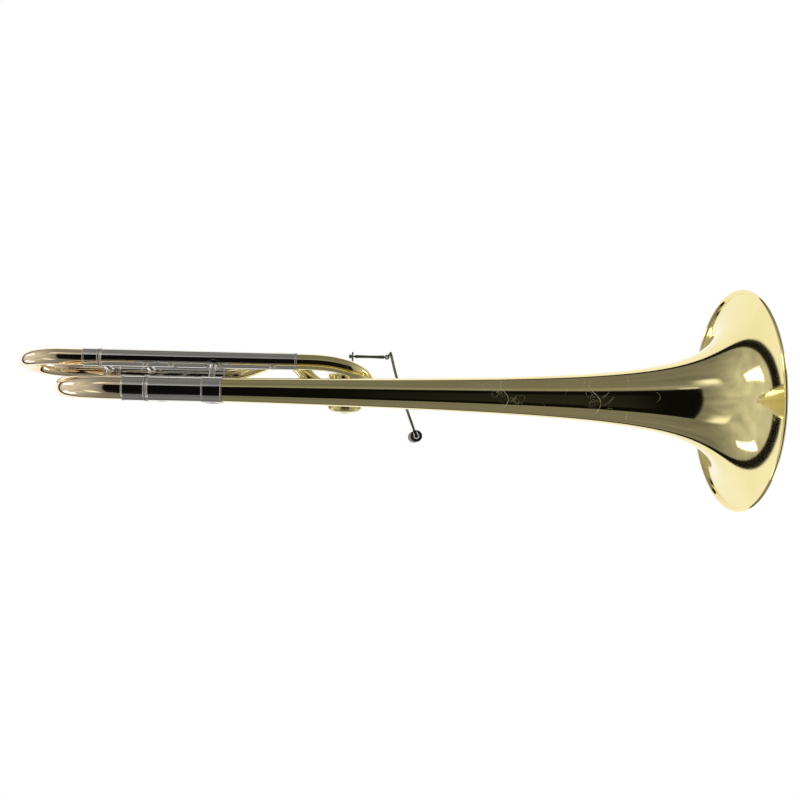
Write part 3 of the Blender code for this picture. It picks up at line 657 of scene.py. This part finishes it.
def makeCasing():
    floor, top, bore = valve["floor"], valve["top"], casing["bore"]
    radius = casing["radius"] - casing["bead"]
    profile = [(floor, bore - 1 * mm), (floor, radius - 0.2 * mm)]
    profile += beadArc(floor + 1.3 * mm, radius, casing["bead"], 1.1 * mm)
    profile += [(floor + 3 * mm, radius), (top - 3 * mm, radius)]
    profile += beadArc(top - 1.3 * mm, radius, casing["bead"], 1.1 * mm)
    profile += [(top, radius - 0.2 * mm), (top, bore), (floor + 1 * mm, bore),
                (floor + 1 * mm, bore - 1 * mm)]
    shell = turnOnLathe(valveAxis, upward, profile, segments=96)
    middle = valveAxis + upward * valve["portHeight"]
    collars = []
    for quarter in range(4):
        heading = math.pi / 4 + quarter * math.pi / 2
        outward = Vector((math.cos(heading), math.sin(heading), 0))
        cutter = turnOnLathe(middle, outward, [(10 * mm, valve["tube"] + 0.35 * mm),
                                               (26 * mm, valve["tube"] + 0.35 * mm)],
                             segments=48, ends="capped")
        cutAway(shell, cutter)
        reach = casing["radius"] - 0.9 * mm
        collar = casing["collar"]
        hole = valve["tube"] + 0.25 * mm
        section = [(reach, hole)] + stepsFrom(reach, collar, (0, -0.2), (2.2, -0.2), (2.6, 0),
                                              (3.2, 0), (3.6, -0.3))
        section.append((reach + 3.6 * mm, hole))
        collars.append(turnOnLathe(middle, outward, section, segments=48))
    finishPiece(shell, "valveCasing", "instrument", brass, ("valve_casing",))
    finishPiece(joinPieces(collars), "portCollars", "instrument", brass)


def makeCap():
    low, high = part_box("bottom_cap")
    top, bottom = high.z, low.z
    radius, boss = cap["radius"], cap["boss"]
    profile = stepsFrom(top, radius, (0, -1.8), (0, -0.3), (-0.3, 0), (-3.6, 0), (-4.1, -0.2),
                        (-4.6, -0.9))
    dishTop, dishDeep = top - 4.6 * mm, bottom + 0.5 * mm
    profile += [(dishTop + (dishDeep - dishTop) * math.sin(a),
                 boss + 0.7 * mm + (radius - 1.6 * mm - boss) * math.cos(a))
                for a in evenSteps(0.08, math.pi / 2, 12)]
    profile += [(dishDeep + 0.5 * mm, boss + 0.4 * mm)]
    profile += stepsFrom(bottom, boss, (0.2, 0), (0, -0.3))
    profile += stepsFrom(bottom, 0, (0, 2.0), (1.2, 1.6), (2.2, 1.4))
    profile += [(bottom + 3.2 * mm, radius - 6 * mm)]
    profile += stepsFrom(top, radius, (-2.6, -2.4), (-0.2, -2.2))
    piece = turnOnLathe(valveAxis, upward, profile, segments=2 * cap["flutes"])
    editMesh("DESELECT")
    bpy.ops.object.mode_set(mode="OBJECT")
    for face in piece.data.polygons:                  # every other strip of the grip is sunk
        middle = piece.matrix_world @ face.center - valveAxis
        strip = int(math.atan2(middle.y, middle.x) / (math.pi / cap["flutes"]) + 500)
        outer = math.hypot(middle.x, middle.y) > radius - 0.1 * mm
        face.select = outer and top - 3.5 * mm < middle.z < top - 0.4 * mm and strip % 2 == 0
    bpy.ops.object.mode_set(mode="EDIT")
    bpy.ops.mesh.select_mode(type="FACE")
    bpy.ops.mesh.inset(thickness=0.12 * mm, depth=-0.25 * mm, use_individual=True)
    bpy.ops.object.mode_set(mode="OBJECT")
    finishPiece(piece, "bottomCap", "instrument", brass, ("bottom_cap",))


def makeStopPlate():
    low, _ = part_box("stop_plate")
    floor, thick = low.z, 1.6 * mm
    radius, inner = stop["radius"], stop["inner"]
    ring = turnOnLathe(valveAxis, upward,
                       [(floor, inner), (floor, radius), (floor + thick - 0.3 * mm, radius),
                        (floor + thick, radius - 0.3 * mm), (floor + thick, inner)], segments=72)
    parts = [ring]
    for hand in (-1, 1):
        heading = -math.pi / 2 + hand * stop["bumperAngle"]
        seat = valveAxis + Vector((math.cos(heading), math.sin(heading), 0)) * 15.3 * mm
        section = stepsFrom(floor + thick, 0, (-0.2, 2.6), (1.1, 2.6), (1.4, 2.3))
        parts.append(turnOnLathe(seat, upward, section, segments=32, ends="capped"))
    finishPiece(joinPieces(parts), "stopPlate", "instrument", brass,
                ("stop_plate",))
    for node, name in (("bumper_rest", "bumperRest"), ("bumper_pressed", "bumperPressed")):
        low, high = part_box(node)
        centre = Vector(((low.x + high.x) / 2, (low.y + high.y) / 2, 0))
        side = [(low.z + (high.z - low.z) * t, (2.45 + 0.25 * math.sin(math.pi * t)) * mm)
                for t in evenSteps(0.08, 0.92, 9)]
        section = [(low.z, 2.2 * mm)] + side + [(high.z, 2.2 * mm)]
        piece = turnOnLathe(centre, upward, section, segments=32, ends="capped")
        finishPiece(piece, name, "instrument", rubber, (node,))


def makeBearing():
    low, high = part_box("upper_bearing_plate")
    hub = 6 * mm
    profile = [(low.z, 3.5 * mm), (low.z, 16.2 * mm)]
    profile += stepsFrom(valve["top"], 0, (-0.9, 16.2), (-0.5, 15.8), (-0.5, 9), (0.4, 8.2))
    profile += [(valve["top"] + 0.4 * mm, hub)]
    profile += stepsFrom(high.z, hub, (-0.3, 0), (0, -0.3)) + [(high.z, 3.5 * mm)]
    piece = turnOnLathe(valveAxis, upward, profile, segments=72)
    finishPiece(piece, "upperBearing", "instrument", nickel,
                ("upper_bearing_plate",))


def makeStopArm():
    low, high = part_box("stop_arm")
    hubLow = low.z
    hubHigh = hubLow + 5 * mm
    armHeight = (hubLow + hubHigh) / 2
    heading = Vector((1, 1, 0)).normalized()
    ball = valveAxis + heading * stop["arm"]
    hub = turnOnLathe(valveAxis, upward, easedRing(hubLow, hubHigh, 3.5 * mm, 6.2 * mm, 0.3 * mm),
                      segments=48)
    arm = bendTube([valveAxis + heading * 5 * mm + upward * armHeight,
                    ball + upward * armHeight], [2.2 * mm, 2.0 * mm], sides=6)
    tail = bendTube([valveAxis - heading * 5 * mm + upward * armHeight,
                     valveAxis - heading * 12.5 * mm + upward * armHeight],
                    [2.0 * mm, 1.7 * mm], sides=6)
    section = stepsFrom(armHeight, 0, (-2.8, 2.0), (-2.4, 2.4), (2.4, 2.4), (2.8, 2.0),
                        (3.6, 1.5)) + stepsFrom(high.z, 0, (-0.4, 1.5), (0, 1.2))
    stud = turnOnLathe(ball, upward, section, segments=32, ends="capped")
    finishPiece(joinPieces([hub, arm, tail, stud]), "stopArm", "valve_rotor", steel,
                ("stop_arm",))
    low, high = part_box("rotor_screw")
    section = stepsFrom(low.z, 0, (0, 1.5), (0, 4.2), (1.4, 4.2), (1.9, 3.6))
    screw = turnOnLathe(valveAxis, upward, section + [(high.z, 2.2 * mm)],
                        segments=48, ends="capped")
    cutSlot(screw, valveAxis + upward * high.z, (9 * mm, 0.9 * mm, 1.4 * mm))
    finishPiece(screw, "rotorScrew", "valve_rotor", steel, ("rotor_screw",))


makeCasing()
makeCap()
makeStopPlate()
makeBearing()
makeStopArm()
for hiddenNode, hiddenFinish in (("rotor", brass), ("lower_bearing_plate", nickel)):
    frame["nodes"][hiddenNode].data.materials.clear()
    frame["nodes"][hiddenNode].data.materials.append(hiddenFinish)
print("valve made")


lever = {"rod": 1.5 * mm, "eye": 4.4 * mm, "eyeHalf": 1.9 * mm, "pin": 1.7 * mm,
         "linkHeight": 39 * mm, "socket": 5 * mm,
         "route": ((335.2, 43.5), (328, 18), (316.5, -15.5), (306.3, -43)),
         "linkEye": 2.6 * mm, "eyeThick": 1.2 * mm, "linkPin": 1.1 * mm, "clear": 4.6 * mm}
joints = {joint["name"]: Vector(joint["pos_m"]) for joint in frame["joints"] if "pos_m" in joint}
linkJoint = joints["link"]
leverPlane = linkJoint.y
ballSpot = Vector((valveAxis.x + stop["arm"] * math.sin(math.pi / 4), leverPlane,
                   lever["linkHeight"]))


def leverPoint(spot):
    behind, height = spot
    return Vector((flareHigh.x - behind * mm, leverPlane, height * mm))


top, upper, lower, bottom = [leverPoint(spot) for spot in lever["route"]]
pivot = upper.lerp(lower, upper.z / (upper.z - lower.z))


def makeLever():
    # the rod leans clear of the link's eye, and its short hook carries the link's pin
    aside = -across * lever["clear"]
    points = smoothRoute([top + aside, upper, lower, bottom.lerp(lower, 0.05)], 12)
    points.insert(0, top + aside + Vector((-0.5, 0, 0.6)) * mm)
    rod = bendTube(points, [0.8 * lever["rod"]] + [lever["rod"]] * (len(points) - 1), sides=8)
    hook = bendTube([top + aside - Vector((0.2, 0, 1.0)) * mm, linkJoint + aside * 0.85],
                    [1.3 * mm, 1.2 * mm], sides=6)
    pinTurn = [(-lever["clear"] - 0.2 * mm, 0.8 * mm), (-lever["clear"], lever["linkPin"]),
               (2.2 * mm, lever["linkPin"]), (2.4 * mm, 0.8 * mm)]
    pin = turnOnLathe(linkJoint, across, pinTurn, segments=24, ends="capped")
    half = lever["eyeHalf"]
    eye = turnOnLathe(pivot, across, easedRing(-half, half, lever["pin"] + gap, lever["eye"],
                                               0.3 * mm), segments=48)
    finishPiece(joinPieces([rod, hook, pin, eye]), "thumbLever", "lever", steel,
                ("thumb_lever",))


def makeSaddle():
    low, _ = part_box("lever_saddle")
    plate = footPlate(Vector((pivot.x, neckAxis.y, 0)), -across, valve["neckTube"],
                      16 * mm, math.radians(44))
    inner = pivot.y + lever["eyeHalf"] + gap
    post = turnOnLathe(Vector((pivot.x, 0, 0)), -across,
                       [(valve["neckTube"] + 0.7 * mm, 4.2 * mm), (-inner, 4.2 * mm),
                        (-inner, lever["pin"]), (-low.y - 0.2 * mm, lever["pin"]),
                        (-low.y, lever["pin"] - 0.2 * mm)], segments=40, ends="capped")
    finishPiece(joinPieces([plate, post]), "leverSaddle", "instrument", brass, ("lever_saddle",))
    low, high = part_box("pivot_screw")
    section = stepsFrom(-high.y, 0, (0, 3.3), (0.2, 3.6))
    section += stepsFrom(-low.y, 0, (-0.7, 3.6), (-0.2, 3.0), (0, 2.2))
    screw = turnOnLathe(Vector((pivot.x, 0, 0)), -across, section, segments=40, ends="capped")
    cutSlot(screw, (pivot.x, low.y, 0), (8 * mm, 1.2 * mm, 0.8 * mm))
    finishPiece(screw, "pivotScrew", "instrument", steel, ("pivot_screw",))


def makeSpring():
    wire = 0.4 * mm
    coil = lever["pin"] + wire + gap
    start = pivot.y - lever["eyeHalf"] - gap - wire
    points = [Vector((pivot.x + coil, start, -12 * mm))]
    for step in range(85):
        turn = 2 * math.pi * step / 30
        points.append(Vector((pivot.x + coil * math.cos(turn), start - step / 30 * 2.3 * wire,
                              coil * math.sin(turn))))
    points.append(points[-1] + Vector((6 * mm, 0, -7 * mm)))
    piece = bendTube(points, [wire] * len(points), sides=3)
    finishPiece(piece, "leverSpring", "instrument", steel, ("lever_spring",))


def makeButton():
    low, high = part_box("thumb_button")
    back, front = -high.y, -low.y
    radius = (high.z - low.z) / 2
    section = stepsFrom(back, radius, (0, -0.4), (0.3, 0))
    section += stepsFrom(front, radius, (-0.9, 0), (-0.3, -0.4), (0, -1.2))
    section += stepsFrom(front, 0, (-0.1, 3.2), (-0.4, 2.6))
    piece = turnOnLathe(Vector((bottom.x, 0, bottom.z)), -across, section, ends="capped")
    finishPiece(piece, "thumbButton", "lever", blackPlastic, ("thumb_button",))
    # a pale crescent round the rod's end on the button's face, a painted highlight rather than a
    # part
    crescentPoints = []
    direction = (lower - bottom).normalized()
    side = direction.cross(across).normalized()
    centre = Vector((bottom.x, 0.35 * mm - front, bottom.z))
    for a in evenSteps(-2.3, 2.3, 25):
        crescentPoints.append(centre - direction * math.cos(a) * 2.5 * mm + side * math.sin(a) * 2.5 * mm)
    crescentPoints = [crescentPoints[0] + direction * 2.6 * mm] + crescentPoints + [crescentPoints[-1] + direction * 2.6 * mm]
    highlightTube = bendTube(crescentPoints, [0.55 * mm] * len(crescentPoints), sides=4)
    finishPiece(highlightTube, "buttonPaintedHighlight", "lever", paintedHighlightGrey)
    low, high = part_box("thumb_pad")
    radius = (high.z - low.z) / 2
    centre = (low + high) / 2
    section = stepsFrom(low.y, radius, (0, -0.3), (0.3, 0))
    section += stepsFrom(high.y, radius, (-1.0, 0), (-0.3, -0.4), (0, -1.2))
    pad = turnOnLathe(Vector((centre.x, 0, centre.z)), across, section, ends="capped")
    finishPiece(pad, "thumbPad", "lever", padGrey, ("thumb_pad",))


def makeLink():
    toward = (ballSpot - linkJoint).normalized()
    length = (ballSpot - linkJoint).length
    start = lever["linkEye"] - 0.4 * mm
    section = stepsFrom(start, 0, (0, 1.0), (0.6, 1.1), (0.9, 1.8), (5, 1.85), (7, 1.65))
    section += [(length / 2, 1.45 * mm)]
    section += stepsFrom(length, 0, (-8, 1.6), (-5, 1.75), (-2.6, 1.7), (-2.3, 1.0), (-1.2, 1.0))
    section += stepsFrom(length, lever["socket"], (-0.9, -0.4), (-0.5, 0), (0.5, 0), (0.9, -0.4))
    section += stepsFrom(length, 0, (1.1, 1.7), (1.6, 2.2), (3.2, 1.9), (4.0, 1.1))
    rod = turnOnLathe(linkJoint, toward, section, segments=40, ends="capped")
    half, eye = lever["eyeThick"], lever["linkEye"]
    ring = turnOnLathe(linkJoint, across, easedRing(-half, half, lever["linkPin"] + gap, eye,
                                                    0.3 * mm), segments=40)
    finishPiece(joinPieces([rod, ring]), "linkRod", "link", steel, ("link_rod",))


brace = {"rod": 2.6 * mm, "boss": 4.4 * mm, "plate": 1.0 * mm, "lift": 0.35 * mm,
         "clear": 0.9 * mm, "shortSpan": 12 * mm, "knobSpan": 26 * mm}


def footPlate(centre, outward, tubeRadius, length, spread, lean=0):
    # a pointed plate laid on a flat grid, then wrapped round its tube
    deselectAll()
    bpy.ops.mesh.primitive_grid_add(x_subdivisions=24, y_subdivisions=16, size=1)
    plate = bpy.context.object
    side = along.cross(outward).normalized()
    inner = tubeRadius + brace["lift"]
    for vertex in plate.data.vertices:
        x, y = vertex.co.x * 2, vertex.co.y * 2
        narrow = 1 - 0.62 * abs(x) ** 1.5
        turn = lean + spread * y * narrow
        vertex.co = (centre + along * (x * length / 2)
                     + inner * (math.cos(turn) * outward + math.sin(turn) * side))
    applyModifier(plate, "SOLIDIFY", thickness=brace["plate"], offset=1)
    applyModifier(plate, "BEVEL", width=0.25 * mm, segments=2, limit_method="ANGLE")
    parts = [plate]
    for end in (-1, 1):                                # a pin head at each point of the plate
        spoke = math.cos(lean) * outward + math.sin(lean) * side
        seat = centre + along * end * (length / 2 - 1.6 * mm)
        rise = inner + brace["plate"]
        section = stepsFrom(rise, 0, (-0.3, 0.9), (0.2, 0.9), (0.5, 0.6), (0.6, 0.25))
        parts.append(turnOnLathe(seat, spoke, section, segments=20, ends="capped"))
    return joinPieces(parts)


def makeBrace(node, name, body, ends, foot, spread, lean):
    # ends are two axis points and the tube radius at each
    (first, firstRadius), (second, secondRadius) = ends
    reach = (second - first).normalized()
    clear = brace["clear"]
    start = first + reach * (firstRadius + clear)
    span = (second - first).length - firstRadius - secondRadius - 2 * clear
    boss, thin = brace["boss"], brace["rod"]
    if span > brace["shortSpan"]:
        neck = boss - 0.6 * mm
        half = stepsFrom(0, boss, (0, 0), (1.2, 0), (1.8, -0.5), (3, -0.6))
        half += [(3 * mm + 3.2 * mm * t, thin + (neck - thin) * (1 - t) ** 2)
                 for t in evenSteps(0.1, 1, 7)]
        profile = list(half)
        if span >= brace["knobSpan"]:                  # a knob stands in the middle of a long one
            waist = thin * 0.94
            profile += [(span / 2 - 4.2 * mm, waist)]
            profile += beadArc(span / 2, waist, 0.9 * mm, 2.2 * mm, 9)
            profile += [(span / 2 + 4.2 * mm, waist)]
        profile += [(span - place, radius) for place, radius in reversed(half)]
    else:
        profile = [(0, boss), (span / 2, boss * 0.8), (span, boss)]
    post = turnOnLathe(start, reach, profile, segments=40, ends="capped")
    parts = [post, footPlate(first, reach, firstRadius, foot, math.radians(spread[0]),
                             math.radians(lean)),
             footPlate(second, -reach, secondRadius, foot, math.radians(spread[1]))]
    finishPiece(joinPieces(parts), name, body, nickel, (node,))


def legRadius(node, bead):
    return legLine(node)[3] - bead


def makeBraces():
    bellLine, neckLine = Vector((0, bellCentre.y, 0)), Vector((0, neckAxis.y, 0))
    fNear, fFar = middleOf("f_outer_sleeve_near"), middleOf("f_outer_sleeve_far")
    fNear.x = fFar.x = 0
    bellSleeve = legRadius("main_outer_sleeve_bell", sleeve["ringHeight"])
    neckSleeve = legRadius("main_outer_sleeve_neck", sleeve["ringHeight"])
    fSleeve = legRadius("f_outer_sleeve_near", sleeve["ringHeight"])
    tail = legRadius("bell_tail_ferrule", 0)
    mainFerrule = [legRadius("main_slide_ferrule_" + side, 0) for side in ("bell", "neck")]
    fFerrule = legRadius("f_slide_ferrule_near", 0)

    def at(node, line):
        return line + along * middleOf(node).x

    def bellAt(node):
        return bellRadiusAt(flareHigh.x - middleOf(node).x)

    fixed, plain = "instrument", (40, 40)
    neckTube = valve["neckTube"]
    rows = (                                           # two lines and radii, foot, spread, lean
        ("sleeve_brace", "sleeveBrace", fixed, bellLine, bellSleeve, neckLine, neckSleeve,
         20, (55, 40), -38),
        ("tail_brace", "tailBrace", fixed, bellLine, tail, neckLine, neckSleeve,
         24, (55, 40), -38),
        ("middle_brace", "middleBrace", fixed, bellLine, bellAt("middle_brace"), neckLine,
         neckTube + 0.5 * mm, 22, plain, 0),
        ("front_brace", "frontBrace", fixed, bellLine, bellAt("front_brace"), neckLine,
         neckTube, 15, plain, 0),
        ("f_cross_brace", "fCrossBrace", fixed, fNear, fSleeve, fFar, fSleeve, 22, plain, 0),
        ("f_to_bell_brace", "fToBellBrace", fixed, fNear, fSleeve, bellLine, tail,
         18, (45, 22), 0),
        ("f_to_neck_brace", "fToNeckBrace", fixed, fFar, fSleeve, neckLine, neckSleeve,
         14, plain, 0),
        ("main_slide_brace", "mainSlideBrace", "main_tuning_slide", bellLine, mainFerrule[0],
         neckLine, mainFerrule[1], 14, plain, 0),
        ("f_slide_brace", "fSlideBrace", "f_tuning_slide", fNear, fFerrule, fFar, fFerrule,
         12, plain, 0))
    for node, name, body, first, firstRadius, second, secondRadius, foot, spread, lean in rows:
        ends = (at(node, first), firstRadius), (at(node, second), secondRadius)
        makeBrace(node, name, body, ends, foot * mm, spread, lean)


makeLever()
makeSaddle()
makeSpring()
makeButton()
makeLink()
print("lever made")
makeBraces()
print("braces made")


studio = {"floorDrop": 0.9, "floorRadius": 0.85, "backdrop": 1.0, "tent": 0.19, "side": 0.52,
          "back": 1.05, "seam": 0.006, "softbox": 4.0, "fill": 0.85, "falloff": 2.2,
          "folds": {"Scale": 2.6, "Detail": 3, "Roughness": 0.4}, "foldStretch": (0.6, 1.0, 2.2),
          "foldLow": 0.45, "foldGain": 1.15,
          # the slope of the dark seam, and where the back and the seam begin, end and soften
          "seamAt": (0.10, (0.58, 3.0, 0.02), (0.475, 0.60, 0.012)),
          # soft boxes at the sides: lean, range in depth, range up, soft edge
          "upperBox": (0.36, (-0.09, 0.35), (0.30, 0.46), 0.02),
          "lowerBox": (0.45, (0.565, 0.76), (-0.90, -0.42), 0.02),
          # front openings and lamps: range across, range up, brightness, soft edge
          "front": (((-0.42, 0.60), (-1.45, 0.58), 0.004, 0.03),       # the dark way in
                    ((0.04, 0.30), (-0.80, 0.20), 0.024, 0.12),        # a lit room far behind it
                    ((-0.60, 0.20), (0.66, 0.95), 0.34, 0.10),         # light that spills in
                    ((-0.38, -0.16), (0.61, 0.71), 0.75, 0.03),        # the strip above it
                    ((-1.05, -0.45), (0.85, 1.35), 1.2, 0.22),         # two lamps behind cloth
                    ((-1.75, -0.80), (-1.60, -0.90), 1.2, 0.26))}


def makeFloor():
    deselectAll()
    bpy.ops.mesh.primitive_circle_add(vertices=96, radius=studio["floorRadius"],
                                      fill_type="NGON",
                                      location=(-0.1, -0.05, -studio["floorDrop"]))
    floor = bpy.context.object
    floor.name = "floor"
    look = {"deepTone": (0.80, 0.80, 0.79), "tone": (0.85, 0.85, 0.84)}
    finish, _, _, _ = newFinish("paleFloor", look, {"Roughness": 0.9}, 7, 2, 0.0)
    floor.data.materials.append(finish)
    floor.visible_glossy = False                       # the tent is what the metal mirrors


def makeLight():
    # a light tent: grey roof, pale sides, a white back and a dark front
    world = bpy.data.worlds.new("lightTent")
    bpy.context.scene.world = world
    world.use_nodes = True
    nodes, links = world.node_tree.nodes, world.node_tree.links
    nodes.clear()

    def reckon(operation, first, second=0.0):
        step = addNode(nodes, "Math")
        step.operation = operation
        for socket, value in zip(step.inputs, (first, second)):
            if isinstance(value, (int, float)):
                socket.default_value = value
            else:
                links.new(value, socket)
        return step.outputs[0]

    def between(value, low, high, soft):
        # 1 inside the range, with soft edges
        edges = []
        for start, end in ((low - soft, low + soft), (high + soft, high - soft)):
            step = addNode(nodes, "MapRange", FromMin=start, FromMax=end)
            step.interpolation_type = "SMOOTHSTEP"
            links.new(value, step.inputs["Value"])
            edges.append(step.outputs[0])
        return reckon("MULTIPLY", *edges)

    def towards(base, level, mask):
        # base moved to level where the mask is 1
        shift = reckon("MULTIPLY", reckon("SUBTRACT", level, base), mask)
        return reckon("ADD", base, shift)

    coords = addNode(nodes, "TexCoord")
    parts = addNode(nodes, "SeparateXYZ")
    links.new(coords.outputs["Generated"], parts.inputs[0])
    x, y, z = parts.outputs
    front = reckon("MAXIMUM", reckon("MULTIPLY", y, -1.0), 0.001)
    sideways = reckon("ABSOLUTE", x)
    light = reckon("ADD", studio["tent"],
                   reckon("MULTIPLY", reckon("POWER", sideways, studio["falloff"]),
                          studio["side"]))
    folds = addNode(nodes, "TexNoise", **studio["folds"])
    stretch = addNode(nodes, "Mapping", Scale=studio["foldStretch"])
    links.new(coords.outputs["Generated"], stretch.inputs["Vector"])
    links.new(stretch.outputs["Vector"], folds.inputs["Vector"])
    shade = reckon("MULTIPLY", folds.outputs["Fac"], studio["foldGain"])
    light = reckon("MULTIPLY", light, reckon("ADD", studio["foldLow"], shade))
    slope, backZone, seamZone = studio["seamAt"]
    seamDepth = reckon("ADD", y, reckon("MULTIPLY", z, slope))
    light = towards(light, studio["back"], between(seamDepth, *backZone))
    light = towards(light, studio["seam"], between(seamDepth, *seamZone))
    frontWide, frontHigh = reckon("DIVIDE", x, front), reckon("DIVIDE", z, front)
    facing = between(y, -2.0, -0.05, 0.05)
    for wide, high, level, soft in studio["front"]:
        mask = reckon("MULTIPLY", between(frontWide, *wide, soft),
                      between(frontHigh, *high, soft))
        light = towards(light, level, reckon("MULTIPLY", mask, facing))
    narrow = reckon("MAXIMUM", sideways, 0.001)        # two soft boxes stand at each side
    sideDepth, sideHigh = reckon("DIVIDE", y, narrow), reckon("DIVIDE", z, narrow)
    lean, depths, heights, soft = studio["upperBox"]
    upperHigh = reckon("ADD", sideHigh, reckon("MULTIPLY", sideDepth, lean))
    upperBox = reckon("MULTIPLY", between(sideDepth, *depths, soft),
                      between(upperHigh, *heights, soft))
    lean, depths, heights, soft = studio["lowerBox"]
    lowerDepth = reckon("SUBTRACT", sideDepth, reckon("MULTIPLY", sideHigh, lean))
    lowerBox = reckon("MULTIPLY", between(sideHigh, *heights, soft),
                      between(lowerDepth, *depths, soft))
    light = towards(light, studio["softbox"], reckon("ADD", upperBox, lowerBox))
    rayKind = addNode(nodes, "LightPath")
    shown = towards(light, studio["fill"], rayKind.outputs["Is Diffuse Ray"])
    shown = towards(shown, studio["backdrop"], rayKind.outputs["Is Camera Ray"])
    background = addNode(nodes, "Background", Color=(1, 1, 1, 1))
    links.new(shown, background.inputs["Strength"])
    output = addNode(nodes, "OutputWorld")
    links.new(background.outputs[0], output.inputs["Surface"])


camera = {"lens": 43.13, "place": (-0.13585, -1.01894, -0.01043), "yaw": -3.806, "tilt": 90.275,
          "roll": 1.171}


def makeCamera():
    deselectAll()
    bpy.ops.object.camera_add()
    eye = bpy.context.object
    eye.data.lens = camera["lens"]
    eye.data.clip_start = 0.01
    eye.matrix_world = (Matrix.Translation(camera["place"])
                        @ Matrix.Rotation(math.radians(camera["yaw"]), 4, "Z")
                        @ Matrix.Rotation(math.radians(camera["tilt"]), 4, "X")
                        @ Matrix.Rotation(math.radians(camera["roll"]), 4, "Z"))
    bpy.context.scene.camera = eye
    bpy.context.scene.view_settings.view_transform = "Standard"


makeFloor()
makeLight()
makeCamera()
print("studio made")
